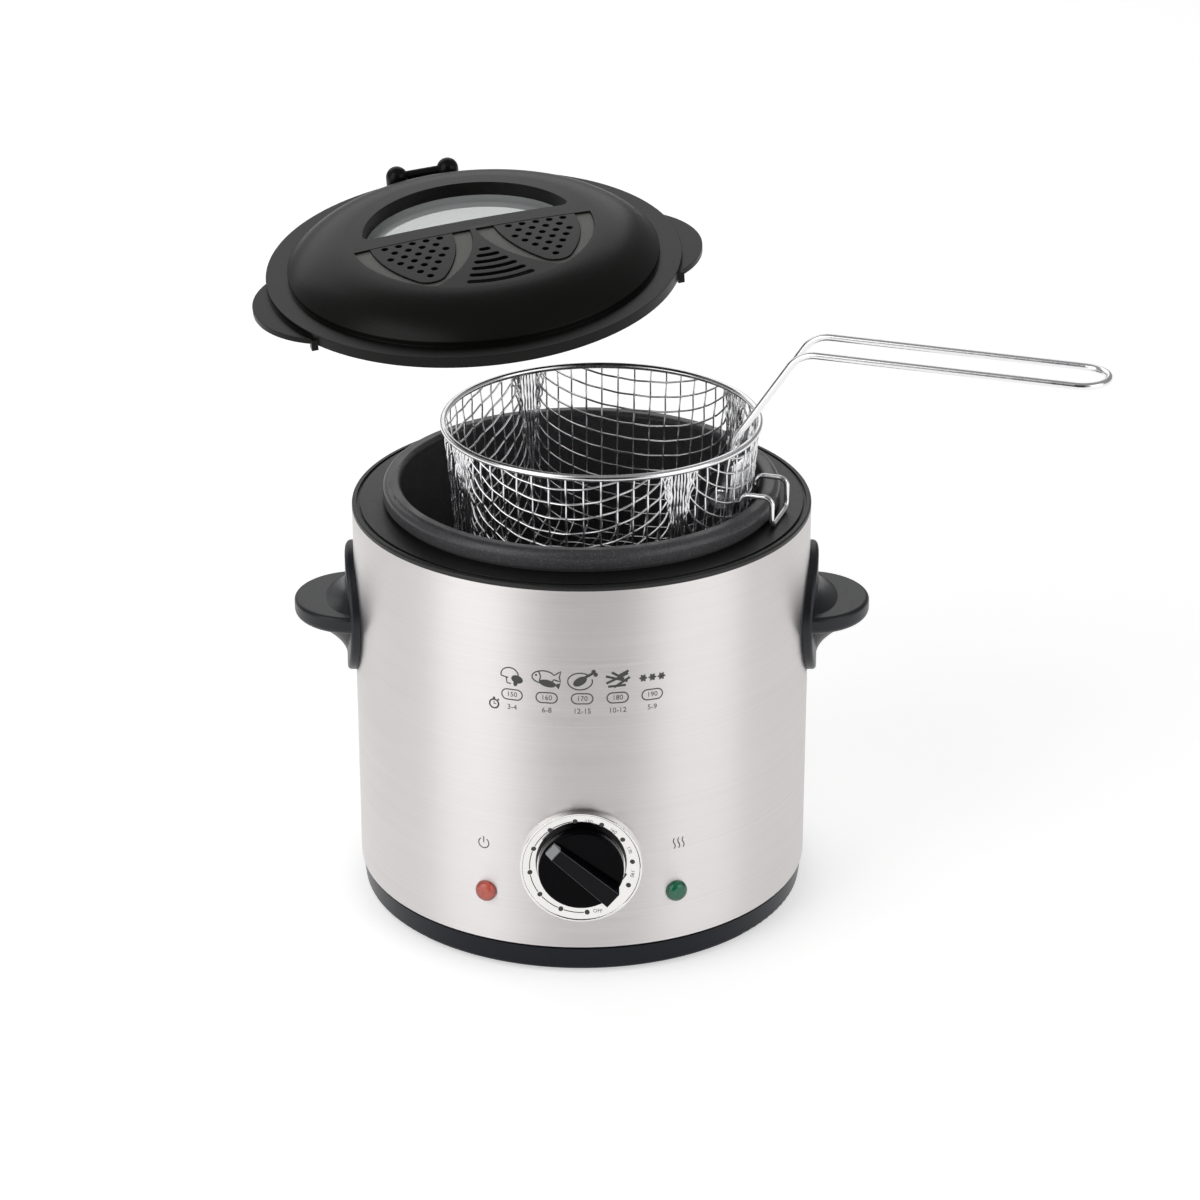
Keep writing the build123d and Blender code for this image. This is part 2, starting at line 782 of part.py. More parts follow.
mark_start = knob_bar_tip + running_gap
with BuildPart() as knob_pointer:
    with BuildSketch(bar_slope):
        with BuildLine():
            Polyline(
                (mark_start, 0),
                (mark_start, knob_bar_tip_height),
                (mark_start + knob_mark_length, knob_mark_end_height),
                (mark_start + knob_mark_length, 0),
                close=True,
            )
        make_face()
    extrude(amount=bar_tip, both=True)
save(knob_pointer, "knob_pointer")

with BuildPart() as dial_shaft:
    with BuildSketch(front_plane(bore_end + fit_gap)):
        Circle(shaft_radius)
    extrude(amount=knob_back + knob_socket_depth - bore_end - 2 * fit_gap)
save(dial_shaft, "dial_shaft")

# Indicator lamps: coloured lenses outside, holders and spring clips inside
for label, side in (("red_lamp_lens", -1), ("green_lamp_lens", 1)):
    with BuildPart() as lamp_lens:
        lens_plane = radial_plane(-90 + side * lamp_angle, body_radius + running_gap, lamp_height)
        with BuildSketch(lens_plane):
            Circle(lamp_radius)
        extrude(amount=lamp_proud)
        lens_face = lamp_lens.faces().sort_by(Axis(lens_plane.origin, lens_plane.z_dir))[-1]
        fillet(lens_face.edges(), lamp_proud - lamp_lip)
    save(lamp_lens, label)

with BuildPart() as lamp_holders:
    for side in (-1, 1):
        angle = -90 + side * lamp_angle
        with BuildSketch(radial_plane(angle, body_radius, lamp_height)):
            Circle(lamp_body_radius)
        extrude(amount=-lamp_body_length)
        with BuildSketch(radial_plane(angle, body_radius - lamp_body_length, lamp_height)):
            with Locations((-lamp_lead_spread, 0), (lamp_lead_spread, 0)):
                Circle(lamp_lead_radius)
        extrude(amount=-lamp_lead_length)
save(lamp_holders, "lamp_holders")

with BuildPart() as lamp_clips:
    for side in (-1, 1):
        with BuildSketch(radial_plane(-90 + side * lamp_angle, steel_inner - fit_gap, lamp_height)):
            Circle(lamp_clip_radius)
            Circle(lamp_body_radius + running_gap, mode=Mode.SUBTRACT)
        extrude(amount=-lamp_clip_thick)
save(lamp_clips, "lamp_clips")

# Side handles: a grip that runs with hollow blends into a plate on the sleeve
plate_inner = body_radius + running_gap
plate_outer = plate_inner + handle_plate_thick
shelf_bottom = handle_top - handle_thick
plate_half = handle_plate_height / 2
shelf_plane = Plane(origin=(0, 0, shelf_bottom), x_dir=(-1, 0, 0), z_dir=up)
plate_plane = Plane(origin=(0, 0, handle_plate_mid), x_dir=(0, 1, 0), z_dir=(-1, 0, 0))


def grip_blend(level, run, reach):
    """Hollow blend between the grip and its plate, from a level of the grip along a run up or down."""
    half_width = handle_half_width - blend_inset
    with BuildPart() as blend:
        for step in range(blend_steps + 1):
            fade = (1 - step / blend_steps) ** blend_power
            with BuildSketch(shelf_plane.offset(level + run * step / blend_steps)):
                with Locations((body_radius, 0)):
                    Ellipse(
                        blend_foot + (reach - blend_foot) * fade,
                        blend_foot_half_width + (half_width - blend_foot_half_width) * sqrt(fade),
                    )
        loft()
    return blend.part


with BuildPart() as side_handle:
    with BuildSketch(shelf_plane):
        with Locations((body_radius, 0)):
            Ellipse(handle_reach, handle_half_width)
    extrude(amount=handle_thick)
    fillet(side_handle.edges().group_by(Axis.Z)[0], handle_round)
    fillet(side_handle.edges().group_by(Axis.Z)[-1], handle_top_round)
    add(grip_blend(blend_overlap, -blend_drop, handle_reach - blend_inset))
    add(grip_blend(handle_thick - blend_overlap, blend_rise, blend_rise_reach))
    with BuildSketch(Plane.XY.offset(handle_plate_mid - handle_plate_height)):
        Circle(plate_inner)
    extrude(amount=2 * handle_plate_height, mode=Mode.SUBTRACT)
    with BuildSketch(shelf_plane.offset(-handle_plate_height)):
        with Locations((body_radius - handle_plate_height, 0)):
            Rectangle(2 * handle_plate_height, 2 * handle_plate_height)
    extrude(amount=2 * handle_plate_height, mode=Mode.SUBTRACT)
with BuildPart() as handle_plate:
    with BuildSketch(plate_plane) as plate_outline:
        with BuildLine():
            ThreePointArc((0, plate_half), (handle_plate_half_width, 0), (0, -plate_half))
            ThreePointArc((0, -plate_half), (-handle_plate_half_width, 0), (0, plate_half))
        make_face()
        fillet(plate_outline.vertices(), handle_plate_round)
    extrude(amount=plate_outer)
    with BuildSketch(Plane.XY.offset(handle_plate_mid - handle_plate_height)):
        Circle(plate_outer)
        Circle(plate_inner, mode=Mode.SUBTRACT)
    extrude(amount=2 * handle_plate_height, mode=Mode.INTERSECT)
    plate_face = handle_plate.faces().sort_by(Axis.X)[0]
    fillet(plate_face.edges(), handle_plate_edge)
with BuildPart() as left_handle:
    add(side_handle.part)
    add(handle_plate.part)
    for height in screw_heights:
        with BuildSketch(radial_plane(180, plate_inner - hole_gap, height)):
            Circle(handle_screw_radius)
        extrude(amount=handle_screw_depth + hole_gap, mode=Mode.SUBTRACT)
save(left_handle, "left_handle")

with BuildPart() as right_handle:
    mirror(left_handle.part, about=Plane.YZ)
save(right_handle, "right_handle")

with BuildPart() as handle_screws:
    for side_angle in (0, 180):
        for height in screw_heights:
            with BuildSketch(radial_plane(side_angle, steel_inner - fit_gap, height)):
                Circle(handle_screw_head_radius)
            extrude(amount=-handle_screw_head_height)
            with BuildSketch(radial_plane(side_angle, steel_inner - fit_gap, height)):
                Circle(handle_screw_radius - running_gap)
            extrude(amount=steel_wall + fit_gap + handle_screw_depth)
save(handle_screws, "handle_screws")

# Mains inlet at the back: a gland, its nut and the terminal block
with BuildPart() as cord_gland:
    with BuildSketch(radial_plane(90, body_radius + running_gap, gland_height)):
        Circle(gland_flange_radius)
    extrude(amount=gland_flange_thick)
    with BuildSketch(radial_plane(90, body_radius + running_gap + gland_flange_thick, gland_height)):
        Circle(gland_collar_radius)
    extrude(amount=gland_collar_length)
    fillet(cord_gland.edges().group_by(Axis.Y)[-1], collar_edge_round)
    with BuildSketch(radial_plane(90, body_radius + running_gap, gland_height)):
        Circle(gland_neck_radius)
    extrude(amount=-gland_inner_length)
    with BuildSketch(radial_plane(90, body_radius - 2 * gland_inner_length, gland_height)):
        Circle(gland_bore)
    extrude(amount=4 * gland_inner_length, mode=Mode.SUBTRACT)
save(cord_gland, "cord_gland")

with BuildPart() as gland_nut:
    with BuildSketch(radial_plane(90, steel_inner - gland_nut_gap, gland_height)):
        RegularPolygon(gland_flange_radius, 6)
        Circle(gland_neck_radius + running_gap, mode=Mode.SUBTRACT)
    extrude(amount=-gland_nut_thick)
save(gland_nut, "gland_nut")

terminal_row = body_radius - terminal_inset
first_terminal = -terminal_pitch * (terminal_ways - 1) / 2
terminal_spots = [(first_terminal + i * terminal_pitch, terminal_row) for i in range(terminal_ways)]
with BuildPart() as terminal_block:
    with BuildSketch(Plane.XY.offset(base_floor_top)):
        with Locations((0, terminal_row)):
            Rectangle(terminal_size[0], terminal_size[1])
    extrude(amount=terminal_size[2])
    with BuildSketch(Plane.XY.offset(base_floor_top + terminal_size[2])):
        with Locations(*terminal_spots):
            Circle(terminal_hole_radius)
    extrude(amount=-terminal_size[2] / 2, mode=Mode.SUBTRACT)
save(terminal_block, "terminal_block")

# Lid: its own plane, tilted as it is held in the air
lid_up = Vector(
    -cos(radians(lid_pitch)) * sin(radians(lid_roll)),
    -sin(radians(lid_pitch)),
    cos(radians(lid_pitch)) * cos(radians(lid_roll)),
)
lid_level = Vector(cos(radians(lid_yaw)), sin(radians(lid_yaw)), 0)
lid_across = (lid_level - lid_up * lid_level.dot(lid_up)).normalized()
lid_plane = Plane(origin=lid_place, x_dir=lid_across, z_dir=lid_up)
lid_section = Plane(origin=lid_place, x_dir=lid_across, z_dir=lid_across.cross(lid_up))
lid_axis = Axis(lid_place, lid_up)

dome_foot = lid_radius - lid_dome_inset
dome_base = lid_flange_height + lid_dome_step
crown_top = lid_flange_height + lid_dome_rise
crown_edge = crown_top - lid_crown_drop
crown_curve = (lid_crown_radius**2 + lid_crown_drop**2) / (2 * lid_crown_drop)
crown_slope = Vector(crown_curve - lid_crown_drop, -lid_crown_radius)
seat_height = lid_flange_height - lid_wall


def crown_height(radius, sink=0.0):
    """Height of the crowned lid top at a radius, less a depth below it."""
    return crown_top - sink - crown_curve + sqrt(crown_curve**2 - radius**2)


def crown_arc(sink=0.0):
    """Arc of the crowned lid top from the axis outwards, at a depth below it."""
    ThreePointArc(
        (0, crown_top - sink),
        (lid_crown_radius / 2, crown_height(lid_crown_radius / 2, sink)),
        (lid_crown_radius, crown_edge - sink),
    )


def window_outline(grow):
    """Segment of a circle with rounded corners, grown or shrunk by an amount."""
    edge = window_edge - grow
    radius = window_radius + grow
    half = sqrt(radius * radius - edge * edge)
    with BuildSketch(Plane.XY, mode=Mode.PRIVATE) as outline:
        with BuildLine():
            ThreePointArc((half, edge), (0, radius), (-half, edge))
            Line((-half, edge), (half, edge))
        make_face()
        fillet(outline.vertices(), window_corner)
    return outline.sketch


def crown_spot(inset, angle):
    """Point of a vent's outline, set in from the crown's edge."""
    reach = lid_crown_radius - inset
    return reach * cos(radians(angle)), reach * sin(radians(angle))


def shield_outline(inner, outer, tip, inner_bow, outer_bow, tip_round):
    """Outline that hangs from the petals' top line: two bowed sides that meet in a rounded tip."""
    with BuildSketch(Plane.XY, mode=Mode.PRIVATE) as outline:
        with BuildLine():
            Line((inner, petal_top), (outer, petal_top))
            ThreePointArc((outer, petal_top), outer_bow, tip)
            ThreePointArc(tip, inner_bow, (inner, petal_top))
        make_face()
        fillet(outline.vertices().sort_by(Axis.Y)[0], tip_round)
    return outline.sketch


def filter_outline(grow):
    """Half-disc of the steam filter, grown or shrunk by an amount."""
    radius = filter_radius + grow
    edge = -filter_edge + grow
    half = sqrt(radius * radius - edge * edge)
    with BuildSketch(Plane.XY, mode=Mode.PRIVATE) as outline:
        with BuildLine():
            ThreePointArc((-half, edge), (0, -radius), (half, edge))
            Line((half, edge), (-half, edge))
        make_face()
    return outline.sketch


petal_outer = sqrt((lid_crown_radius - petal_corner_inset) ** 2 - petal_top**2)
petal_tip = crown_spot(petal_tip_inset, petal_tip_angle)
petal_outer_bow = crown_spot(petal_bow_inset, petal_bow_angle)
petal_inner_bow = crown_spot(petal_inner_bow_inset, petal_inner_bow_angle)
field_outer = sqrt((lid_crown_radius - field_corner_inset) ** 2 - petal_top**2)
field_tip = crown_spot(field_tip_inset, field_tip_angle)
field_outer_bow = crown_spot(field_bow_inset, field_bow_angle)
field_inner_bow = crown_spot(field_inner_bow_inset, field_inner_bow_angle)
petal_shape = shield_outline(petal_inner, petal_outer, petal_tip, petal_inner_bow, petal_outer_bow,
                             petal_tip_round)
field_shape = shield_outline(field_inner, field_outer, field_tip, field_inner_bow, field_outer_bow,
                             field_tip_round)
window_floor = crown_top - window_well_depth
tray_bottom = crown_top - filter_tray_drop
boss_angles = (-90 - filter_boss_angle, -90 + filter_boss_angle)
boss_spots = [(Rot(0, 0, angle) * Pos(filter_boss_circle_radius, 0)).position for angle in boss_angles]
boss_bottom = tray_bottom + filter_tray_floor

with BuildPart() as lid_shell:
    with BuildSketch(lid_section):
        with BuildLine():
            crown_arc()
            TangentArc((lid_crown_radius, crown_edge), (dome_foot, dome_base), tangent=crown_slope)
            Polyline(
                (dome_foot, dome_base),
                (dome_foot, lid_flange_height),
                (lid_radius, lid_flange_height),
                (lid_radius, 0),
                (lid_radius - lid_skirt_wall, 0),
                (lid_radius - lid_skirt_wall, seat_height),
                (dome_foot - lid_wall, seat_height),
                (dome_foot - lid_wall, dome_base - lid_wall),
            )
            TangentArc((lid_crown_radius, crown_edge - lid_wall),
                       (dome_foot - lid_wall, dome_base - lid_wall), tangent=crown_slope)
            crown_arc(lid_wall)
            Line((0, crown_top - lid_wall), (0, crown_top))
        make_face()
    revolve(axis=lid_axis)
    # Window well
    with BuildSketch(lid_plane.offset(window_floor)):
        add(window_outline(window_well_wall))
    extrude(amount=crown_height(window_radius, lid_wall) - window_floor)
    with BuildSketch(lid_plane.offset(window_floor + window_ledge_thick)):
        add(window_outline(0))
    extrude(amount=window_well_depth, mode=Mode.SUBTRACT)
    with BuildSketch(lid_plane.offset(window_floor)):
        add(window_outline(-window_ledge))
    extrude(amount=window_well_depth, mode=Mode.SUBTRACT)
    # Openings for the two perforated petals and the fan of slots between them
    with BuildSketch(lid_plane.offset(window_floor)):
        add(petal_shape)
        mirror(petal_shape, about=Plane.YZ)
    extrude(amount=window_well_depth + lid_wall, mode=Mode.SUBTRACT)
    for i in range(fan_slot_count):
        slot_radius = fan_slot_first + i * fan_slot_pitch
        slot_sweep = degrees((fan_slot_length + i * fan_slot_growth) / slot_radius)
        with BuildSketch(lid_plane.offset(window_floor)):
            with BuildLine(mode=Mode.PRIVATE) as slot_line:
                CenterArc((0, fan_centre), slot_radius, -90 - slot_sweep / 2, slot_sweep)
            SlotArc(slot_line.wire(), fan_slot_width)
        extrude(amount=window_well_depth + lid_wall, mode=Mode.SUBTRACT)
    # Bosses for the filter tray
    with BuildSketch(lid_plane.offset(boss_bottom)):
        with Locations(*boss_spots):
            Circle(filter_boss_radius)
    extrude(amount=crown_height(filter_boss_circle_radius, filter_boss_root) - boss_bottom)
    with BuildSketch(lid_plane.offset(boss_bottom)):
        with Locations(*boss_spots):
            Circle(filter_screw_radius + running_gap)
    extrude(amount=filter_tray_floor * 2, mode=Mode.SUBTRACT)
    # Lifting tabs at the two sides with a turned-down nub at each front end
    tab_root = lid_radius - lid_skirt_wall / 2
    tab_reach = lid_radius + lid_tab_reach
    tab_mid = (lid_tab_back - lid_tab_front) / 2
    tab_front_x = sqrt(tab_root**2 - lid_tab_front**2)
    tab_back_x = sqrt(tab_root**2 - lid_tab_back**2)
    for side in (-1, 1):
        with BuildSketch(lid_plane):
            with BuildLine():
                ThreePointArc((side * tab_front_x, -lid_tab_front), (side * tab_reach, tab_mid),
                              (side * tab_back_x, lid_tab_back))
                ThreePointArc((side * tab_back_x, lid_tab_back), (side * tab_root, 0),
                              (side * tab_front_x, -lid_tab_front))
            make_face()
        extrude(amount=lid_tab_thick)
        nub_x = tab_front_x + lid_skirt_wall / 2 + lid_tab_nub[0] / 2
        with BuildSketch(lid_plane.offset(lid_tab_thick - lid_tab_nub[2])):
            with Locations((side * nub_x, -lid_tab_front + lid_tab_nub[1] / 2)):
                Rectangle(lid_tab_nub[0], lid_tab_nub[1])
        extrude(amount=lid_tab_nub[2])
    # Two round lugs on the rear edge, joined by a bar
    lug_half = lid_lug_spacing / 2
    lug_row = lid_radius - lid_lug_radius + lid_lug_overhang
    lug_height = lid_flange_height + lid_lug_radius / 2
    with BuildSketch(lid_plane.offset(lid_flange_height / 2)):
        with Locations((-lug_half, lug_row), (lug_half, lug_row)):
            Circle(lid_lug_radius)
    extrude(amount=lug_height - lid_flange_height / 2)
    lug_tops = lid_plane.offset(lug_height)
    with Locations(lug_tops * Pos(-lug_half, lug_row), lug_tops * Pos(lug_half, lug_row)):
        Sphere(lid_lug_radius)
    lug_bar = Plane(origin=lid_plane.from_local_coords((-lug_half, lug_row, lug_height)),
                    x_dir=lid_plane.y_dir, z_dir=lid_across)
    with BuildSketch(lug_bar):
        Circle(lid_lug_bar_radius)
    extrude(amount=lid_lug_spacing)
save(lid_shell, "lid_shell")

# Window pane on its seal
seal_bottom = window_floor + window_ledge_thick
with BuildPart() as window_seal:
    with BuildSketch(lid_plane.offset(seal_bottom)):
        add(window_outline(-fit_gap))
        add(window_outline(-window_ledge), mode=Mode.SUBTRACT)
    extrude(amount=window_seal_thick)
save(window_seal, "window_seal")

with BuildPart() as lid_window:
    with BuildSketch(lid_plane.offset(seal_bottom + window_seal_thick)):
        add(window_outline(-fit_gap))
    extrude(amount=window_pane_thick)
save(lid_window, "lid_window")

# Vent petals: a sunk trim and, inside it, the perforated field that is flush with the lid's crown


def crown_slab(shape, sink, thick):
    """Slab with an outline on the lid that follows the crown at a depth below it."""
    with BuildPart() as slab:
        with BuildSketch(lid_section):
            with BuildLine():
                crown_arc(sink)
                Line((lid_crown_radius, crown_edge - sink), (lid_crown_radius, crown_edge - sink - thick))
                crown_arc(sink + thick)
                Line((0, crown_top - sink - thick), (0, crown_top - sink))
            make_face()
        revolve(axis=lid_axis)
        with BuildSketch(lid_plane.offset(window_floor)):
            add(shape)
        extrude(amount=2 * window_well_depth, mode=Mode.INTERSECT)
    return slab.part


lid_mirror = Plane(origin=lid_place, x_dir=lid_up, z_dir=lid_across)
with BuildSketch() as trim_shape:
    add(offset(petal_shape, -running_gap, mode=Mode.PRIVATE))
    add(field_shape, mode=Mode.SUBTRACT)
with BuildPart() as vent_trim_right:
    add(crown_slab(trim_shape.sketch, petal_sink, petal_thick))
save(vent_trim_right, "vent_trim_right")

with BuildPart() as vent_trim_left:
    mirror(vent_trim_right.part, about=lid_mirror)
save(vent_trim_left, "vent_trim_left")

field_plate = offset(field_shape, -running_gap, mode=Mode.PRIVATE)
hole_field = offset(field_shape, -vent_hole_border - vent_hole_radius, mode=Mode.PRIVATE).face()
hole_rows = int((petal_top - field_tip[1]) / (vent_hole_pitch * sin(radians(60)))) + 1
hole_columns = int((field_outer - field_inner) / vent_hole_pitch) + 1
hole_spots = []
for row in range(hole_rows):
    for column in range(hole_columns):
        hole_x = field_inner + vent_hole_pitch * (column + (row % 2) / 2)
        hole_y = petal_top - vent_hole_border - vent_hole_radius - row * vent_hole_pitch * sin(radians(60))
        if hole_field.is_inside(Vector(hole_x, hole_y - running_gap, 0)):
            hole_spots.append((hole_x, hole_y))
with BuildPart() as vent_grille_right:
    add(crown_slab(field_plate, field_sink, field_thick))
    with BuildSketch(lid_plane.offset(window_floor)):
        with Locations(*hole_spots):
            Circle(vent_hole_radius)
    extrude(amount=2 * window_well_depth, mode=Mode.SUBTRACT)
save(vent_grille_right, "vent_grille_right")

with BuildPart() as vent_grille_left:
    mirror(vent_grille_right.part, about=lid_mirror)
save(vent_grille_left, "vent_grille_left")

# Steam filter, its tray and the two screws
with BuildPart() as filter_tray:
    with BuildSketch(lid_plane.offset(tray_bottom)):
        add(filter_outline(0))
        for angle in boss_angles:
            ear_reach = filter_boss_circle_radius - filter_radius + filter_tray_wall
            with Locations(Rot(0, 0, angle) * Pos(filter_boss_circle_radius - ear_reach / 2, 0)):
                Rectangle(ear_reach, 2 * filter_boss_radius)
        with Locations(*boss_spots):
            Circle(filter_boss_radius + filter_tray_wall)
    extrude(amount=filter_tray_floor)
    with BuildSketch(lid_plane.offset(boss_bottom)):
        add(filter_outline(0))
        add(filter_outline(-filter_tray_wall), mode=Mode.SUBTRACT)
    extrude(amount=filter_thick)
    with BuildSketch(lid_plane.offset(tray_bottom)):
        with Locations(*boss_spots):
            Circle(filter_screw_radius + hole_gap)
        for i in range(filter_slot_count):
            slot_x = (i - (filter_slot_count - 1) / 2) * filter_slot_pitch
            slot_depth = sqrt(filter_radius**2 - slot_x**2)
            with Locations((slot_x, -filter_edge - slot_depth / 2)):
                SlotOverall(slot_depth * filter_slot_share, filter_slot_width, rotation=90)
    extrude(amount=filter_tray_floor, mode=Mode.SUBTRACT)
    with BuildSketch(lid_plane.offset(boss_bottom)):
        with Locations(*boss_spots):
            Circle(filter_boss_radius + fit_gap)
    extrude(amount=filter_thick, mode=Mode.SUBTRACT)
save(filter_tray, "filter_tray")

with BuildPart() as lid_filter:
    with BuildSketch(lid_plane.offset(boss_bottom)):
        add(filter_outline(-filter_tray_wall - fit_gap))
    extrude(amount=filter_thick)
save(lid_filter, "lid_filter")

with BuildPart() as filter_screws:
    with BuildSketch(lid_plane.offset(tray_bottom)):
        with Locations(*boss_spots):
            Circle(filter_screw_head_radius)
    extrude(amount=-filter_screw_head_height)
    with BuildSketch(lid_plane.offset(tray_bottom)):
        with Locations(*boss_spots):
            Circle(filter_screw_radius)
    extrude(amount=filter_tray_floor * 3 - fit_gap)
save(filter_screws, "filter_screws")

# Frying basket: its own plane on the rim, the first axis pointing along the handle
basket_rim_radius = pot_inner_radius - basket_rim_gap
basket_floor_radius = basket_rim_radius - basket_flare
basket_out = Vector(cos(radians(basket_turn)), sin(radians(basket_turn)), 0)
basket_rim_height = pot_top + basket_hang + hook_wire + hole_gap
basket_place = basket_out * basket_offset + up * basket_rim_height
basket_plane = Plane(origin=basket_place, x_dir=basket_out, z_dir=up)
basket_section = Plane(origin=basket_place, x_dir=basket_out, z_dir=basket_out.cross(up))
basket_axis = Axis(basket_place, up)
cup_top = -basket_rim_wire - running_gap
cup_height = basket_depth + cup_top


def wall_radius(depth):
    """Outer radius of the tapering basket wall at a depth below the rim."""
    return basket_rim_radius - (basket_rim_radius - basket_floor_radius) * (depth + cup_top) / cup_height


column_angle = 360 / basket_columns
wall_foot = -basket_depth + basket_corner
row_pitch = (cup_top - basket_bar / 2 - wall_foot) / basket_rows
row_edges = [wall_foot + i * row_pitch for i in range(basket_rows + 1)]
floor_pitch = 2 * (basket_floor_radius - basket_corner) / basket_floor_cells
with BuildPart() as basket_mesh:
    with BuildSketch(basket_section) as cup:
        with BuildLine():
            Polyline(
                (0, -basket_depth),
                (basket_floor_radius, -basket_depth),
                (basket_rim_radius, cup_top),
                (basket_rim_radius - basket_wall, cup_top),
                (basket_floor_radius - basket_wall, -basket_depth + basket_wall),
                (0, -basket_depth + basket_wall),
                close=True,
            )
        make_face()
        for inset in (0, basket_wall):
            level = cup.vertices().filter_by(lambda v: abs(v.Y + basket_depth - inset) < hole_gap)
            fillet(level.sort_by(Axis.X)[-1], basket_corner - inset)
    revolve(axis=basket_axis)
    # A plain grid of openings in the wall and the floor stands for the fine net
    for i in range(basket_columns):
        column = basket_plane.rotated((0, 0, (i + 0.5) * column_angle))
        with BuildSketch(Plane(origin=column.origin, x_dir=column.y_dir, z_dir=column.x_dir)):
            for low, high in zip(row_edges[:-1], row_edges[1:]):
                cell_width = 2 * wall_radius(-low) * sin(radians(column_angle / 2)) - basket_bar
                with Locations((0, (low + high) / 2)):
                    Rectangle(cell_width, high - low - basket_bar)
        extrude(amount=2 * basket_rim_radius, mode=Mode.SUBTRACT)
    with BuildSketch(basket_plane.offset(-basket_depth)):
        with GridLocations(floor_pitch, floor_pitch, basket_floor_cells, basket_floor_cells):
            Rectangle(floor_pitch - basket_bar, floor_pitch - basket_bar)
        Circle(basket_floor_radius - basket_corner, mode=Mode.INTERSECT)
    extrude(amount=basket_wall, mode=Mode.SUBTRACT)
save(basket_mesh, "basket_mesh")

with BuildPart() as basket_rim:
    with BuildSketch(basket_section):
        with Locations((basket_rim_radius, 0)):
            Circle(basket_rim_wire)
    revolve(axis=basket_axis)
save(basket_rim, "basket_rim")


def wire(points, radii, thickness):
    """Bent wire: a round section swept along straight runs with rounded corners."""
    places = [basket_plane.from_local_coords(point) for point in points]
    with BuildPart() as bent:
        with BuildLine():
            FilletPolyline(*places, radius=radii)
        with BuildSketch(Plane(origin=places[0], z_dir=places[1] - places[0])):
            Circle(thickness)
        sweep()
    return bent


# Drain hook: its arms reach over the pot rim and its end stands on the collar
hook_level = hook_lift - basket_hang
hook_end = collar_top + hook_wire + hole_gap - basket_rim_height
hook_reach = pot_rim_radius + hook_rim_gap - basket_offset
hook_foot = hook_level - hook_leg
leg_gap = hook_wire + fit_gap
leg_top = sqrt(wall_radius(-hook_level) ** 2 - hook_half_width**2) + leg_gap
leg_foot = sqrt(wall_radius(-hook_foot) ** 2 - hook_half_width**2) + leg_gap
hook_half = [
    (leg_foot, -hook_half_width, hook_foot),
    (leg_top, -hook_half_width, hook_level),
    (hook_reach, -hook_half_width, hook_level),
    (hook_reach, -hook_half_width, hook_end),
]
hook_points = hook_half + [(x, -y, z) for x, y, z in reversed(hook_half)]
drain_hook = wire(hook_points, hook_bend, hook_wire)
save(drain_hook, "drain_hook")

# Bracket inside the wall with two eyes for the handle's ends
pivot_x = basket_rim_radius - grip_pivot_inset
with BuildPart() as basket_bracket:
    with BuildSketch(basket_section):
        with BuildLine():
            inner_top = wall_radius(bracket_strap_top) - basket_wall - fit_gap
            inner_bottom = wall_radius(bracket_strap_bottom) - basket_wall - fit_gap
            Polyline(
                (inner_top, -bracket_strap_top),
                (inner_bottom, -bracket_strap_bottom),
                (inner_bottom - bracket_strap_thick, -bracket_strap_bottom),
                (inner_top - bracket_strap_thick, -bracket_strap_top),
                close=True,
            )
        make_face()
    revolve(axis=basket_axis, revolution_arc=bracket_strap_angle / 2)
    mirror(about=basket_section)
    for side in (-1, 1):
        lug_face = Plane(origin=basket_plane.from_local_coords((0, side * eye_lug_row, 0)), x_dir=basket_out,
                         z_dir=basket_out.cross(up))
        strap_middle = wall_radius(grip_pivot_depth) - basket_wall - fit_gap - bracket_strap_thick / 2
        lug_reach = sqrt(strap_middle**2 - (eye_lug_row + eye_lug_thick / 2) ** 2)
        with BuildSketch(lug_face):
            with Locations((pivot_x, -grip_pivot_depth)):
                Circle(eye_lug_size)
            with Locations(((pivot_x + lug_reach) / 2, -grip_pivot_depth)):
                Rectangle(lug_reach - pivot_x, 2 * eye_lug_size)
        extrude(amount=eye_lug_thick / 2, both=True)
    eye_line = Plane(origin=basket_plane.from_local_coords((pivot_x, 0, -grip_pivot_depth)), x_dir=basket_out,
                     z_dir=basket_out.cross(up))
    with BuildSketch(eye_line):
        Circle(grip_wire + running_gap)
    extrude(amount=2 * eye_lug_row, both=True, mode=Mode.SUBTRACT)
save(basket_bracket, "basket_bracket")

# Hairpin handle, one bent wire from eye to eye
neck_x = basket_rim_radius - grip_neck_inset
grip_bend_reach = basket_rim_radius + grip_rise_reach
grip_end_reach = grip_bend_reach + grip_length
grip_half = [
    (pivot_x, -grip_half_width - grip_pin_length, -grip_pivot_depth),
    (pivot_x, -grip_half_width, -grip_pivot_depth),
    (neck_x, -grip_half_width, grip_neck_height),
    (grip_bend_reach, -grip_half_width, grip_bend_height),
    (grip_end_reach, -grip_half_width, grip_end_height),
]
grip_points = grip_half + [(x, -y, z) for x, y, z in reversed(grip_half)]
grip_radii = [grip_pin_bend, grip_neck_bend, grip_riser_bend, grip_end_bend]
basket_handle = wire(grip_points, grip_radii + grip_radii[::-1], grip_wire)
save(basket_handle, "basket_handle")
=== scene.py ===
"""Looks of a round table-top deep fryer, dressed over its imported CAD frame."""

import logging
import math
from dataclasses import dataclass, field
from enum import Enum
from typing import Callable, Iterable, Sequence

import bmesh
import bpy
from mathutils import Matrix, Vector


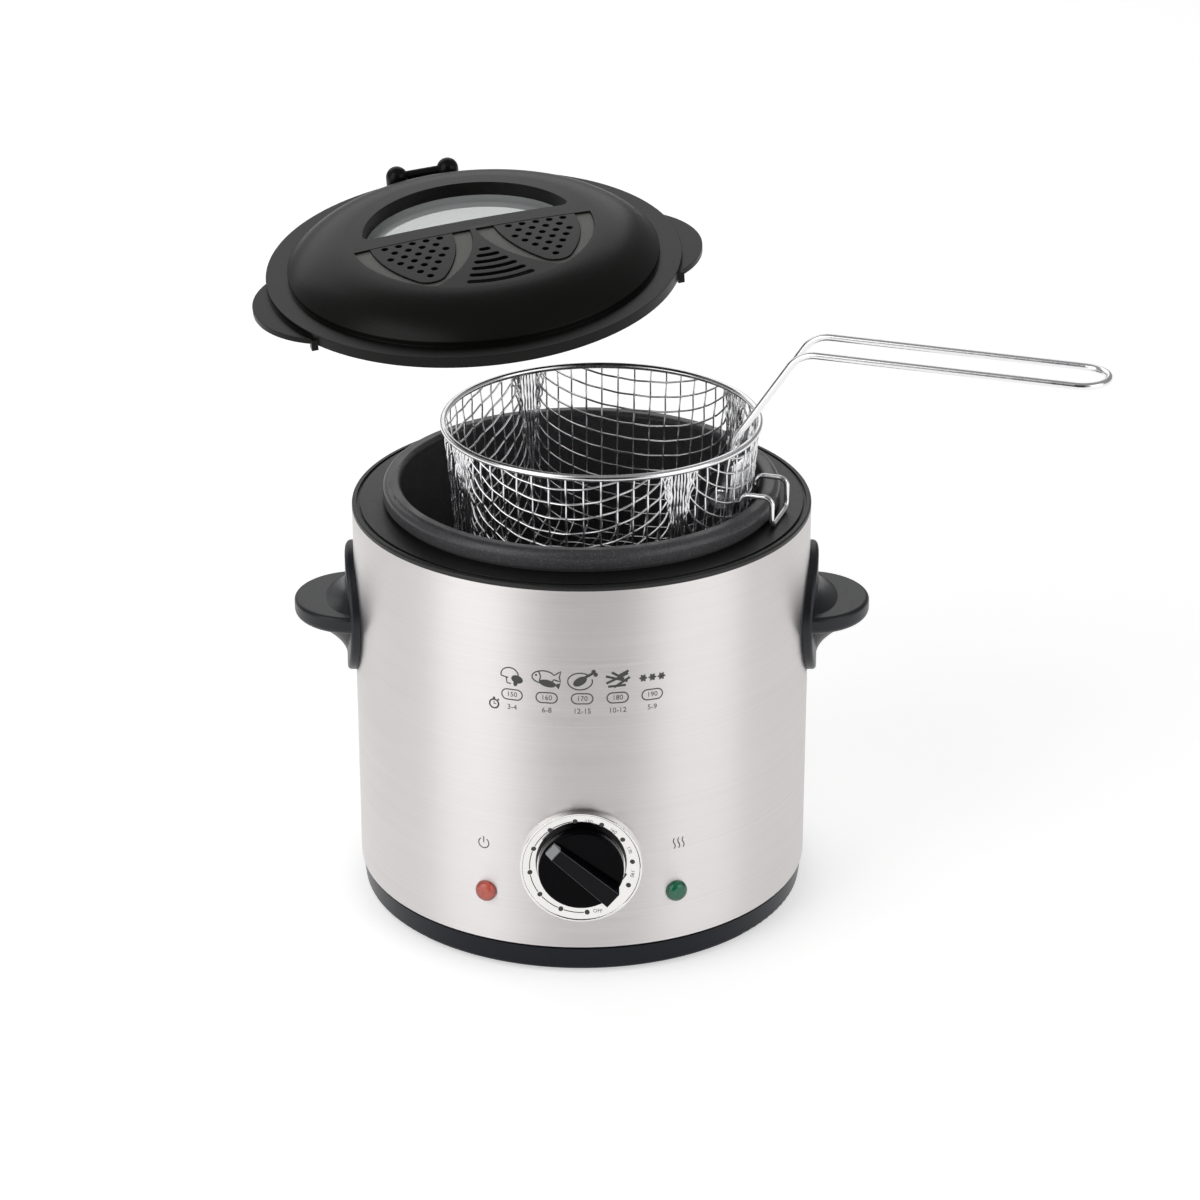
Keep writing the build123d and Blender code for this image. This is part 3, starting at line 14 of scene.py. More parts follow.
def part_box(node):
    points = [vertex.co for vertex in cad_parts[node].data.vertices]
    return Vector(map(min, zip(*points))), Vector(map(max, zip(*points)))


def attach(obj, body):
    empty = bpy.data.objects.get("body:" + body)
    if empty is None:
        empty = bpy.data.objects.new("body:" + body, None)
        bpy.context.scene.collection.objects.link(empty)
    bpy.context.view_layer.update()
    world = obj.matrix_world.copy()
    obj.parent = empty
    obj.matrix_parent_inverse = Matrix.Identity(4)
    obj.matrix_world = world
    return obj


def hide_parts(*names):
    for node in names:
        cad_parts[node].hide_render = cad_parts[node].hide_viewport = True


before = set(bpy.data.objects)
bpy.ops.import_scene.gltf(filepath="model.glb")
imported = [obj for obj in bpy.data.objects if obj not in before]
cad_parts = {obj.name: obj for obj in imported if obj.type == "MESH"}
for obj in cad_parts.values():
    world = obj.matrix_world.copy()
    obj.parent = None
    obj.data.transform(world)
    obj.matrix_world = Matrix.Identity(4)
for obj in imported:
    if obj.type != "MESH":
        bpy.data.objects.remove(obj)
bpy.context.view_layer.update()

LOG = logging.getLogger("fryer")
MM = 0.001

Color = tuple[float, float, float]
Spot = tuple[float, float]
Socket = bpy.types.NodeSocket


class Graph:
    """Node tree of one material, with its principled shader ready."""

    def __init__(self, name: str) -> None:
        """Starts a material of that name."""
        self.material = bpy.data.materials.new(name)
        self.material.use_nodes = True
        self.nodes = self.material.node_tree.nodes
        self.links = self.material.node_tree.links
        self.shader = self.nodes["Principled BSDF"]

    def add(self, kind: str, inputs: dict | None = None, **settings: object) -> bpy.types.Node:
        """Adds a node.

        Args:
            kind: the node's type name.
            inputs: values, or sockets to link, by input name or number.
            settings: the node's own properties.

        Returns:
            The new node.
        """
        node = self.nodes.new(kind)
        for name, value in settings.items():
            setattr(node, name, value)
        for name, value in (inputs or {}).items():
            self.feed(node, name, value)
        return node

    def feed(self, node: bpy.types.Node, name: str | int, value: object) -> None:
        """Links a socket to a node's input, or sets the input's value.

        Args:
            node: the node that is fed.
            name: the input's name or number.
            value: a socket to link, or a plain value.
        """
        if isinstance(value, bpy.types.NodeSocket):
            self.links.new(value, node.inputs[name])
        else:
            node.inputs[name].default_value = value

    def cover(self, name: str, value: object) -> None:
        """Links a socket to the shader's input, or sets the input's value."""
        self.feed(self.shader, name, value)

    def place(self, stretch: Sequence[float] = (1.0, 1.0, 1.0)) -> Socket:
        """Object coordinates in metres, stretched along the axes."""
        spot = self.add("ShaderNodeTexCoord").outputs["Object"]
        return self.add("ShaderNodeMapping", {"Vector": spot, "Scale": stretch}).outputs["Vector"]

    def noise(self, scale: float, detail: float = 3.0, stretch: Sequence[float] = (1.0, 1.0, 1.0)) -> Socket:
        """Noise between 0 and 1, with that many waves in a metre."""
        inputs = {"Vector": self.place(stretch), "Scale": scale, "Detail": detail}
        return self.add("ShaderNodeTexNoise", inputs).outputs["Fac"]

    def span(self, value: Socket, low: float, high: float, start: float = 0.3, end: float = 0.7) -> Socket:
        """Maps a reach of values, by default a noise's usual one, onto a range.

        Args:
            value: what is mapped.
            low: the result at the reach's start.
            high: the result at its end.
            start: where the reach starts.
            end: where it ends.

        Returns:
            The mapped value.
        """
        inputs = {"Value": value, "From Min": start, "From Max": end, "To Min": low, "To Max": high}
        return self.add("ShaderNodeMapRange", inputs).outputs["Result"]

    def reckon(self, operation: str, first: Socket, second: Socket | float) -> Socket:
        """Result of a sum on two values."""
        return self.add("ShaderNodeMath", {0: first, 1: second}, operation=operation).outputs[0]

    def blend(self, factor: Socket, low: Color, high: Color) -> Socket:
        """Colour between two by a factor.

        Args:
            factor: share of the second colour.
            low: the colour at 0.
            high: the colour at 1.

        Returns:
            The blended colour.
        """
        ramp = self.add("ShaderNodeValToRGB", {"Fac": factor})
        ramp.color_ramp.elements[0].color = (*low, 1.0)
        ramp.color_ramp.elements[1].color = (*high, 1.0)
        return ramp.outputs["Color"]

    def bump(self, height: Socket, depth: float, strength: float, edge: float = 0.0) -> None:
        """Bumps the shader's surface.

        Args:
            height: the bump's height between 0 and 1.
            depth: how deep it is, in metres.
            strength: share of the bump that shows.
            edge: radius that softens the mesh's edges, in metres.
        """
        node = self.add("ShaderNodeBump", {"Height": height, "Distance": depth, "Strength": strength})
        if edge:
            soft = self.add("ShaderNodeBevel", {"Radius": edge}, samples=4)
            self.feed(node, "Normal", soft.outputs["Normal"])
        self.cover("Normal", node.outputs["Normal"])


def shade(color: Color, factor: float) -> Color:
    """Colour made lighter or darker."""
    return tuple(min(1.0, channel * factor) for channel in color)


@dataclass(frozen=True)
class Finish:
    """Finish of a surface: a name, a colour and how rough it is."""

    name: str
    color: Color
    roughness: float

    def material(self) -> bpy.types.Material:
        """Material of this finish, made at its first use.

        Returns:
            The material, the same one at every call.
        """
        known = bpy.data.materials.get(self.name)
        if known:
            return known
        graph = Graph(self.name)
        graph.cover("Base Color", (*self.color, 1.0))
        graph.cover("Roughness", self.roughness)
        self.texture(graph)
        return graph.material

    def tint(self, graph: Graph, factor: Socket, low: float, high: float) -> None:
        """Sets a colour that varies between two shades of this finish's own."""
        graph.cover("Base Color", graph.blend(factor, shade(self.color, low), shade(self.color, high)))

    def polish(self, graph: Graph, factor: Socket, low: float, high: float) -> None:
        """Sets a roughness that varies between two shares of this finish's own."""
        graph.cover("Roughness", graph.span(factor, self.roughness * low, self.roughness * high))

    def texture(self, graph: Graph) -> None:
        """Adds what the surface shows at close range.

        Args:
            graph: the material's node tree.
        """
        raise NotImplementedError

    def dress(self, *nodes: str) -> None:
        """Gives this finish to CAD nodes.

        Args:
            nodes: the nodes' names.
        """
        for node in nodes:
            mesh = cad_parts[node].data
            mesh.materials.clear()
            mesh.materials.append(self.material())


@dataclass(frozen=True)
class MouldedPlastic(Finish):
    """Moulded plastic with a fine eroded grain and a slightly uneven tone."""

    cloud: float = 28.0
    grain: float = 1400.0
    grain_depth: float = 0.03 * MM
    tone: float = 0.12
    edge: float = 0.5 * MM
    specular: float = 0.5

    def texture(self, graph: Graph) -> None:
        """Grain, tone and roughness that vary over the surface.

        Args:
            graph: the material's node tree.
        """
        self.tint(graph, graph.noise(self.cloud), 1 - self.tone, 1 + self.tone)
        grain = graph.noise(self.grain, 2.0)
        self.polish(graph, grain, 1 - self.tone, 1 + self.tone)
        graph.cover("Specular IOR Level", self.specular)
        graph.bump(grain, self.grain_depth, 0.5, self.edge)


@dataclass(frozen=True)
class KnobPlastic(MouldedPlastic):
    """Glossy plastic with a raised bar at the front, with a painted highlight that makes the bar's edges
    paler.
    """

    grain_depth: float = 0.008 * MM
    specular: float = 0.06
    bar_depth: float = 4.4 * MM
    bar_fade: float = 0.3 * MM
    # share of the painted highlight colour on the bar's flat faces
    bar_share: float = 0.02
    # colour of the painted highlight on the bar's edges
    edge_highlight_color: Color = (0.2, 0.2, 0.23)
    # how far the painted highlight reaches in from the bar's edges, in metres
    edge_highlight_reach: float = 0.7 * MM

    def texture(self, graph: Graph) -> None:
        """Plastic that is dull black behind the bar, with a painted highlight on the bar's edges.

        Args:
            graph: the material's node tree.
        """
        super().texture(graph)
        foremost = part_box("dial_knob")[0][1]
        level = foremost + self.bar_depth
        row = graph.add("ShaderNodeSeparateXYZ", {"Vector": graph.place()}).outputs["Y"]
        raised = graph.span(row, 1.0, 0.0, level - self.bar_fade, level + self.bar_fade)
        # painted highlight: the bar's edges, where the softened normal leaves the true one, are made paler
        soft = graph.add("ShaderNodeBevel", {"Radius": self.edge_highlight_reach}, samples=8).outputs["Normal"]
        true = graph.add("ShaderNodeNewGeometry").outputs["True Normal"]
        flat = graph.add("ShaderNodeVectorMath", {0: soft, 1: true}, operation="DOT_PRODUCT").outputs["Value"]
        painted_edge_highlight = graph.span(flat, 1.0, self.bar_share, 0.75, 0.97)
        share = graph.reckon("MULTIPLY", raised, painted_edge_highlight)
        graph.cover("Base Color", graph.blend(share, self.color, self.edge_highlight_color))
        graph.cover("Specular IOR Level", graph.span(raised, self.specular, 2 * self.specular, 0.0, 1.0))


@dataclass(frozen=True)
class BrushedSteel(Finish):
    """Steel brushed in long strokes round the body."""

    stroke: float = 2600.0
    drift: float = 5.0
    anisotropy: float = 0.85
    quarter_turn: float = 0.25

    def texture(self, graph: Graph) -> None:
        """Strokes in colour, roughness and bump, running level.

        Args:
            graph: the material's node tree.
        """
        strokes = graph.noise(1.0, 4.0, (self.drift, self.drift, self.stroke))
        fine = graph.noise(1.0, 2.0, (3 * self.drift, 3 * self.drift, 3 * self.stroke))
        graph.cover("Metallic", 1.0)
        self.tint(graph, strokes, 0.93, 1.05)
        self.polish(graph, fine, 0.85, 1.15)
        graph.cover("Anisotropic", self.anisotropy)
        graph.cover("Anisotropic Rotation", self.quarter_turn)
        tangent = graph.add("ShaderNodeTangent", direction_type="RADIAL", axis="Z")
        graph.cover("Tangent", tangent.outputs["Tangent"])
        graph.bump(strokes, 0.006 * MM, 0.35)


@dataclass(frozen=True)
class PlatedMetal(Finish):
    """Bright plated or plain metal with faint handling marks."""

    marks: float = 220.0

    def texture(self, graph: Graph) -> None:
        """Roughness that wanders, and a faint waviness.

        Args:
            graph: the material's node tree.
        """
        marks = graph.noise(self.marks, 5.0)
        graph.cover("Metallic", 1.0)
        self.tint(graph, marks, 0.94, 1.03)
        self.polish(graph, marks, 0.7, 1.3)
        graph.bump(marks, 0.01 * MM, 0.3)


@dataclass(frozen=True)
class SpeckledCoat(Finish):
    """Non-stick coat with pale mineral specks."""

    speck: Color = (0.18, 0.18, 0.185)
    speck_scale: float = 2600.0
    cloud: float = 60.0

    def texture(self, graph: Graph) -> None:
        """Specks in the colour and a pebbled surface.

        Args:
            graph: the material's node tree.
        """
        specks = graph.noise(self.speck_scale, 2.0)
        dots = graph.span(specks, 0.0, 1.0, 0.56, 0.7)
        graph.cover("Base Color", graph.blend(dots, self.color, self.speck))
        self.polish(graph, graph.noise(self.cloud), 0.85, 1.2)
        graph.bump(specks, 0.05 * MM, 0.5)


@dataclass(frozen=True)
class SoftMatter(Finish):
    """Rubber, felt or unglazed ceramic: dull, with a coarse grain."""

    grain: float = 700.0
    grain_depth: float = 0.08 * MM

    def texture(self, graph: Graph) -> None:
        """Grain in tone and bump.

        Args:
            graph: the material's node tree.
        """
        grain = graph.noise(self.grain, 5.0)
        self.tint(graph, grain, 0.8, 1.15)
        graph.bump(grain, self.grain_depth, 0.6)


@dataclass(frozen=True)
class ClearGlass(Finish):
    """Clear pane with a slight tint and a greasy film."""

    clear: float = 0.75
    index: float = 1.45
    film: float = 90.0

    def texture(self, graph: Graph) -> None:
        """Film that makes the pane a little uneven.

        Args:
            graph: the material's node tree.
        """
        graph.cover("Transmission Weight", self.clear)
        graph.cover("IOR", self.index)
        self.polish(graph, graph.noise(self.film, 4.0), 0.5, 1.5)


@dataclass(frozen=True)
class LampLens(Finish):
    """Translucent lens, with painted shade that darkens its colour towards its edge, and soft facets behind
    its polished face.
    """

    cells: float = 380.0

    def texture(self, graph: Graph) -> None:
        """Painted shade towards the edge, and facets that darken and light the colour.

        Args:
            graph: the material's node tree.
        """
        cells = graph.add("ShaderNodeTexVoronoi", {"Vector": graph.place(), "Scale": self.cells})
        facets = graph.span(cells.outputs["Distance"], 0.0, 0.25, 0.0, 0.7)
        # painted shade: the colour darkens where the lens's surface turns away from the view
        painted_edge_shade = graph.add("ShaderNodeLayerWeight", {"Blend": 0.45}).outputs["Facing"]
        self.tint(graph, graph.reckon("ADD", painted_edge_shade, facets), 1.2, 0.3)
        graph.cover("Coat Weight", 0.5)
        graph.cover("Coat Roughness", 0.06)
        graph.bump(facets, 0.05 * MM, 0.3)


@dataclass(frozen=True)
class PrintInk(Finish):
    """Screen-printed ink with a slightly broken cover."""

    spots: float = 2600.0

    def texture(self, graph: Graph) -> None:
        """Cover that thins out in small spots.

        Args:
            graph: the material's node tree.
        """
        cover = graph.noise(self.spots)
        self.tint(graph, cover, 0.85, 1.25)
        self.polish(graph, cover, 0.9, 1.1)


class Look(Enum):
    """Finishes of this fryer."""

    SLEEVE = BrushedSteel("sleeve_brushed_steel", (0.775, 0.747, 0.742), 0.42)
    BASE = MouldedPlastic("base_black_plastic", (0.007, 0.0085, 0.014), 0.32, specular=0.2)
    COLLAR = MouldedPlastic("collar_black_plastic", (0.008, 0.008, 0.0075), 0.42, specular=0.45)
    LID = MouldedPlastic("lid_black_plastic", (0.0045, 0.0045, 0.004), 0.31, specular=0.17)
    # the vent trim's lighter grey is painted reflection, standing for the sheen that its bands catch
    VENT_PAINTED_REFLECTION = MouldedPlastic("vent_trim_painted_reflection_grey", (0.075, 0.075, 0.069), 0.45)
    GRIP = MouldedPlastic("handle_blue_black_plastic", (0.012, 0.0135, 0.018), 0.36, specular=0.38)
    KNOB = KnobPlastic("knob_black_plastic", (0.001, 0.001, 0.002), 0.16)
    POINTER = MouldedPlastic("pointer_grey_plastic", (0.34, 0.35, 0.36), 0.3)
    WIRING = MouldedPlastic("wiring_white_plastic", (0.72, 0.7, 0.64), 0.5)
    GLAND = MouldedPlastic("gland_black_nylon", (0.02, 0.02, 0.02), 0.5)
    POT = SpeckledCoat("pot_speckled_coat", (0.045, 0.045, 0.049), 0.34)
    WIRE = PlatedMetal("bright_basket_wire", (0.88, 0.88, 0.89), 0.2)
    BEZEL = PlatedMetal("bright_dial_plate", (0.85, 0.84, 0.82), 0.08)
    FIXING = PlatedMetal("zinc_fixing", (0.6, 0.6, 0.58), 0.35)
    ALUMINIUM = PlatedMetal("cast_aluminium", (0.66, 0.66, 0.67), 0.45)
    ELEMENT = PlatedMetal("tinted_heater_tube", (0.3, 0.27, 0.25), 0.4)
    COPPER = PlatedMetal("copper_capillary", (0.75, 0.4, 0.26), 0.3)
    RUBBER = SoftMatter("foot_ring_rubber", (0.025, 0.025, 0.025), 0.8)
    SEAL = SoftMatter("seal_silicone", (0.05, 0.05, 0.05), 0.6)
    STEATITE = SoftMatter("white_steatite", (0.8, 0.78, 0.72), 0.55)
    FELT = SoftMatter("filter_felt", (0.55, 0.53, 0.48), 0.95, grain=420.0, grain_depth=0.5 * MM)
    GLASS = ClearGlass("window_glass", (0.66, 0.69, 0.67), 0.08)
    RED = LampLens("red_lamp", (0.72, 0.13, 0.09), 0.2)
    GREEN = LampLens("green_lamp", (0.004, 0.18, 0.085), 0.2)
    INK = PrintInk("dark_print_ink", (0.06, 0.06, 0.06), 0.45)


NODE_LOOKS: dict[Look, tuple[str, ...]] = {
    Look.SLEEVE: ("outer_shell",),
    Look.BASE: ("base",),
    Look.COLLAR: ("top_collar",),
    Look.LID: ("lid_shell", "filter_tray", "vent_grille_left", "vent_grille_right"),
    Look.VENT_PAINTED_REFLECTION: ("vent_trim_left", "vent_trim_right"),
    Look.GRIP: ("left_handle", "right_handle"),
    Look.KNOB: ("dial_knob",),
    Look.POINTER: ("knob_pointer",),
    Look.WIRING: ("lamp_holders", "terminal_block"),
    Look.GLAND: ("cord_gland", "gland_nut"),
    Look.POT: ("pot",),
    Look.WIRE: ("basket_mesh", "basket_rim", "basket_bracket", "drain_hook", "basket_handle"),
    Look.BEZEL: ("dial_bezel",),
    Look.FIXING: ("tie_rods", "spacer_tubes", "centre_bolt", "thermostat_bracket", "bezel_nuts", "dial_shaft",
                  "lamp_clips", "handle_screws", "filter_screws"),
    Look.ALUMINIUM: ("heater_plate", "heat_shield"),
    Look.ELEMENT: ("heating_element",),
    Look.COPPER: ("thermostat_capillary",),
    Look.RUBBER: ("rubber_foot",),
    Look.SEAL: ("pot_seal", "window_seal"),
    Look.STEATITE: ("thermal_cutout", "thermostat_body"),
    Look.FELT: ("lid_filter",),
    Look.GLASS: ("lid_window",),
    Look.RED: ("red_lamp_lens",),
    Look.GREEN: ("green_lamp_lens",),
}


def middle(node: str) -> Vector:
    """Middle of a CAD node's box."""
    low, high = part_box(node)
    return (Vector(low) + Vector(high)) / 2


def new_piece(name: str, mesh: bpy.types.Mesh, look: Look, body: str) -> bpy.types.Object:
    """Adds a piece to the scene.

    Args:
        name: the piece's name.
        mesh: its mesh, in the frame's place.
        look: what covers it.
        body: the CAD body that it moves with.

    Returns:
        The new object.
    """
    piece = bpy.data.objects.new(name, mesh)
    bpy.context.scene.collection.objects.link(piece)
    mesh.materials.clear()
    mesh.materials.append(look.value.material())
    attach(piece, body)
    LOG.info("%s: %d faces on %s", name, len(mesh.polygons), body)
    return piece


def tube_mesh(name: str, runs: Iterable[Sequence[Vector]], radius: float, sides: int = 1) -> bpy.types.Mesh:
    """Round wires along open runs of points.

    Args:
        name: the mesh's name.
        runs: one list of points for each wire.
        radius: the wire's radius.
        sides: Blender's bevel resolution.

    Returns:
        One mesh with all the wires, capped at their ends.
    """
    curve = bpy.data.curves.new(name, "CURVE")
    curve.dimensions = "3D"
    curve.bevel_depth = radius
    curve.bevel_resolution = sides
    curve.use_fill_caps = True
    for run in runs:
        spline = curve.splines.new("POLY")
        spline.points.add(len(run) - 1)
        for point, place in zip(spline.points, run):
            point.co = (*place, 1.0)
    holder = bpy.data.objects.new(name, curve)
    mesh = bpy.data.meshes.new_from_object(holder)
    bpy.data.objects.remove(holder)
    bpy.data.curves.remove(curve)
    mesh.polygons.foreach_set("use_smooth", [True] * len(mesh.polygons))
    mesh.name = name
    return mesh


@dataclass
class BasketNet:
    """Square wire net drawn into a cup: level floor, rounded corner, upright wall.

    The net keeps its cells' sides as it is drawn, so it stays square over four stretches of
    the wall and closes up between them.
    """

    pitch: float = 7.2 * MM
    wire: float = 0.48 * MM
    weave: float = 0.3 * MM
    turn: float = math.radians(-106)
    corner: float = 9.0 * MM
    flare: float = 6.7 * MM
    half_wall: float = 0.5 * MM
    steps: int = 4
    bundle: float = 0.25
    bundle_start: float = 0.7
    bundle_length: float = 0.4
    crumple: float = 1.0 * MM
    crumple_waves: Spot = (7.0, 2.4)
    centre: Vector = field(init=False)
    rim_radius: float = field(init=False)
    floor_radius: float = field(init=False)
    height: float = field(init=False)
    floor: float = field(init=False)
    reach: float = field(init=False)

    def __post_init__(self) -> None:
        """Takes the cup's sizes from the frame."""
        low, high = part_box("basket_mesh")
        rim_low, rim_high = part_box("basket_rim")
        self.centre = middle("basket_mesh")
        self.rim_radius = (high[0] - low[0]) / 2 - self.half_wall
        self.floor_radius = self.rim_radius - self.flare
        self.floor = low[2] + self.half_wall
        self.height = (rim_low[2] + rim_high[2]) / 2 - self.floor
        self.reach = self.floor_radius + self.height

    def drawn(self, u: float, v: float) -> Spot:
        """Where a point of the flat net lies on the cup.

        Args:
            u: place along the first wires, from the floor's middle.
            v: place along the second wires.

        Returns:
            The way from the floor's middle along the cup, and the azimuth.
        """
        foot = self.floor_radius
        across, along = abs(u), abs(v)
        if math.hypot(across, along) <= foot:
            way, azimuth = math.hypot(across, along), math.atan2(along, across)
        else:
            first = math.acos(min(1.0, across / foot))
            second = math.asin(min(1.0, along / foot))
            azimuth = (first + second) / 2 + (math.sin(2 * second) - math.sin(2 * first)) / 4
            way = foot / 2 + self.climb(across) + self.climb(along)
        if u < 0:
            azimuth = math.pi - azimuth
        return way, azimuth if v >= 0 else -azimuth

    def climb(self, place: float) -> float:
        """Rise up the wall that a wire's place on the net brings."""
        foot = self.floor_radius
        return place * place / (2 * foot) if place < foot else place - foot / 2

    def profile(self, way: float) -> tuple[float, float, float, float]:
        """Section of the cup.

        Args:
            way: how far along the section, from the floor's middle.

        Returns:
            The radius and the height there, and the outward and upward share of the normal.
        """
        foot, bend = self.floor_radius, self.corner
        if way < foot - bend:
            return way, 0.0, 0.0, -1.0
        if way < foot + bend:
            angle = (way - foot + bend) / (2 * bend) * math.pi / 2
            out, up = math.sin(angle), -math.cos(angle)
            return foot - bend + bend * out, bend + bend * up, out, up
        rise = way - foot
        return foot + (self.rim_radius - foot) * rise / self.height, rise, 1.0, 0.0

    def point(self, u: float, v: float, lift: float, shift: float) -> Vector:
        """Place of a net point in the frame.

        Args:
            u: place along the first wires, from the floor's middle.
            v: place along the second wires.
            lift: how far it stands off the cup.
            shift: angle by which it is shifted round the cup, away from the first wires' middle.

        Returns:
            The place, in metres.
        """
        way, azimuth = self.drawn(u, v)
        radius, rise, out, up = self.profile(way)
        radius += out * lift
        azimuth += self.turn + (shift if u * v >= 0 else -shift)
        return Vector((
            self.centre.x + radius * math.cos(azimuth),
            self.centre.y + radius * math.sin(azimuth),
            self.floor + rise + up * lift,
        ))

    def run(self, number: int, first: bool) -> list[Vector]:
        """Points of one wire.

        Args:
            number: the wire's number, counted from the middle.
            first: whether it belongs to the first family of wires.

        Returns:
            The points that lie below the rim.
        """
        fixed = (number + 0.5) * self.pitch
        side = 1.0 if first else -1.0
        past = max(0.0, abs(fixed) - self.floor_radius) / self.height
        along, across = self.crumple_waves
        count = int(self.reach / self.pitch * self.steps)
        points = []
        for step in range(-count, count + 1):
            moving = step * self.pitch / self.steps
            u, v = (fixed, moving) if first else (moving, fixed)
            if self.drawn(u, v)[0] > self.reach:
                continue
            lift = side * self.weave * math.cos(math.pi * (moving / self.pitch - 0.5) + math.pi * number)
            start = abs(moving) / self.floor_radius - self.bundle_start
            fade = min(1.0, max(0.0, start) / self.bundle_length)
            wave = math.sin(along * step / self.steps + across * number)
            shift = -side * self.bundle * past * fade * fade
            shift += fade * past * self.crumple / self.floor_radius * wave
            points.append(self.point(u, v, lift, shift))
        return points

    def build(self) -> bpy.types.Object:
        """Builds the net of wires that stands for the CAD cup.

        Returns:
            The net.
        """
        count = int(self.reach / self.pitch)
        runs = [self.run(number, first) for first in (True, False) for number in range(-count - 1, count + 1)]
        mesh = tube_mesh("basket_net", [run for run in runs if len(run) > 2], self.wire)
        net = new_piece("basket_net", mesh, Look.WIRE, "basket")
        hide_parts("basket_mesh")
        return net


def ellipse_spot(centre: Spot, size: Spot, angle: float) -> Spot:
    """Point of an ellipse at an angle in degrees."""
    turn = math.radians(angle)
    return centre[0] + size[0] * math.cos(turn), centre[1] + size[1] * math.sin(turn)


class Stamp:
    """Flat print that is wrapped round an upright cylinder on the body's axis."""

    longest_step = 2.0
    arc_step = 12.0
    blob_sides = 18
    capital_share = 0.7

    def __init__(self, radius: float, height: float) -> None:
        """Starts an empty print.

        Args:
            radius: radius of the cylinder that carries it.
            height: height of the print's middle.
        """
        self.radius = radius
        self.height = height
        self.mesh = bmesh.new()

    def face(self, corners: Sequence[Spot]) -> None:
        """Adds a flat patch by its corners, in millimetres right and up."""
        self.mesh.faces.new([self.mesh.verts.new((x * MM, y * MM, 0.0)) for x, y in corners])

    def stroke(self, points: Sequence[Spot], width: float, closed: bool = False) -> None:
        """Draws a line, in steps short enough to follow the surface.

        Args:
            points: what it runs along, in millimetres right and up.
            width: how wide it is.
            closed: whether its end joins its start.
        """
        if not closed:
            points = self.short_steps(points)
        count = len(points)
        sides = []
        for number, (x, y) in enumerate(points):
            before = points[number - 1] if number or closed else points[number]
            after = points[(number + 1) % count] if number + 1 < count or closed else points[number]
            run = Vector((after[0] - before[0], after[1] - before[1]))
            run.normalize()
            half = Vector((-run.y, run.x)) * width / 2
            sides.append(((x + half.x, y + half.y), (x - half.x, y - half.y)))
        for number in range(count if closed else count - 1):
            (a, b), (c, d) = sides[number], sides[(number + 1) % count]
            self.face([a, b, d, c])

    def short_steps(self, points: Sequence[Spot]) -> list[Spot]:
        """Sets in more points where they lie far apart.

        Args:
            points: the line's own points.

        Returns:
            Those points and the new ones.
        """
        steps = [points[0]]
        for (x, y), (end_x, end_y) in zip(points[:-1], points[1:]):
            count = max(1, math.ceil(math.hypot(end_x - x, end_y - y) / self.longest_step))
            steps += [(x + (end_x - x) * i / count, y + (end_y - y) * i / count) for i in range(1, count + 1)]
        return steps

    def arc(self, centre: Spot, size: Spot, start: float, end: float, width: float) -> None:
        """Draws a stretch of an ellipse.

        Args:
            centre: the ellipse's middle.
            size: its half width and half height.
            start: the angle at which the stretch starts, in degrees.
            end: the angle at which it ends.
            width: the line's width.
        """
        count = max(6, int(abs(end - start) / self.arc_step))
        angles = [start + (end - start) * i / count for i in range(count + 1)]
        self.stroke([ellipse_spot(centre, size, angle) for angle in angles], width)

    def disc(self, centre: Spot, radius: float) -> None:
        """Draws a filled round spot."""
        self.blob(centre, (radius, radius))

    def blob(self, centre: Spot, size: Spot, tilt: float = 0.0) -> None:
        """Draws a filled ellipse.

        Args:
            centre: its middle.
            size: its half width and half height.
            tilt: how far it is tilted, in degrees.
        """
        turn = Matrix.Rotation(math.radians(tilt), 2)
        angles = [360 / self.blob_sides * i for i in range(self.blob_sides + 1)]
        around = [turn @ Vector(ellipse_spot((0.0, 0.0), size, angle)) for angle in angles]
        edge = [(centre[0] + spot.x, centre[1] + spot.y) for spot in around]
        for spot, after in zip(edge[:-1], edge[1:]):
            self.face([centre, spot, after])

    def words(self, text: str, centre: Spot, size: float, turn: float = 0.0) -> None:
        """Draws plain figures, or OFF.

        Args:
            text: what is written.
            centre: the middle of it.
            size: the figures' height, in millimetres.
            turn: how far it is turned, in degrees.
        """
        curve = bpy.data.curves.new("figures", "FONT")
        curve.body = text
        curve.size = size / self.capital_share * MM
        curve.align_x = "CENTER"
        curve.align_y = "CENTER"
        curve.resolution_u = 3
        holder = bpy.data.objects.new("figures", curve)
        flat = bpy.data.meshes.new_from_object(holder)
        spin = Matrix.Rotation(math.radians(turn), 4, "Z")
        flat.transform(Matrix.Translation((centre[0] * MM, centre[1] * MM, 0)) @ spin)
        self.mesh.from_mesh(flat)
        bpy.data.objects.remove(holder)
        bpy.data.curves.remove(curve)
        bpy.data.meshes.remove(flat)

    def seat(self, x: float, y: float, lift: float) -> Vector:
        """Seats a point of the flat print on the surface.

        Args:
            x: how far right it is, in metres.
            y: how far up it is.
            lift: how far it stands off the surface.

        Returns:
            Its place in the frame.
        """
        angle = x / self.radius
        reach = self.radius + lift
        return Vector((reach * math.sin(angle), -reach * math.cos(angle), self.height + y))

    def build(self, name: str, thickness: float = 0.04 * MM) -> bpy.types.Object:
        """Gives the print a thickness, lays it on its surface and adds it to the scene.

        Args:
            name: the print's name.
            thickness: how thick the ink is, in metres.

        Returns:
            The print.
        """
        bmesh.ops.remove_doubles(self.mesh, verts=self.mesh.verts, dist=0.001 * MM)
        bmesh.ops.recalc_face_normals(self.mesh, faces=self.mesh.faces)
        for face in self.mesh.faces:
            if face.normal.z < 0:
                face.normal_flip()
        bmesh.ops.solidify(self.mesh, geom=self.mesh.faces, thickness=-thickness)
        for vert in self.mesh.verts:
            x, y, lift = vert.co
            vert.co = self.seat(x, y, abs(lift))
        bmesh.ops.recalc_face_normals(self.mesh, faces=self.mesh.faces)
        mesh = bpy.data.meshes.new(name)
        self.mesh.to_mesh(mesh)
        self.mesh.free()
        return new_piece(name, mesh, Look.INK, "housing")


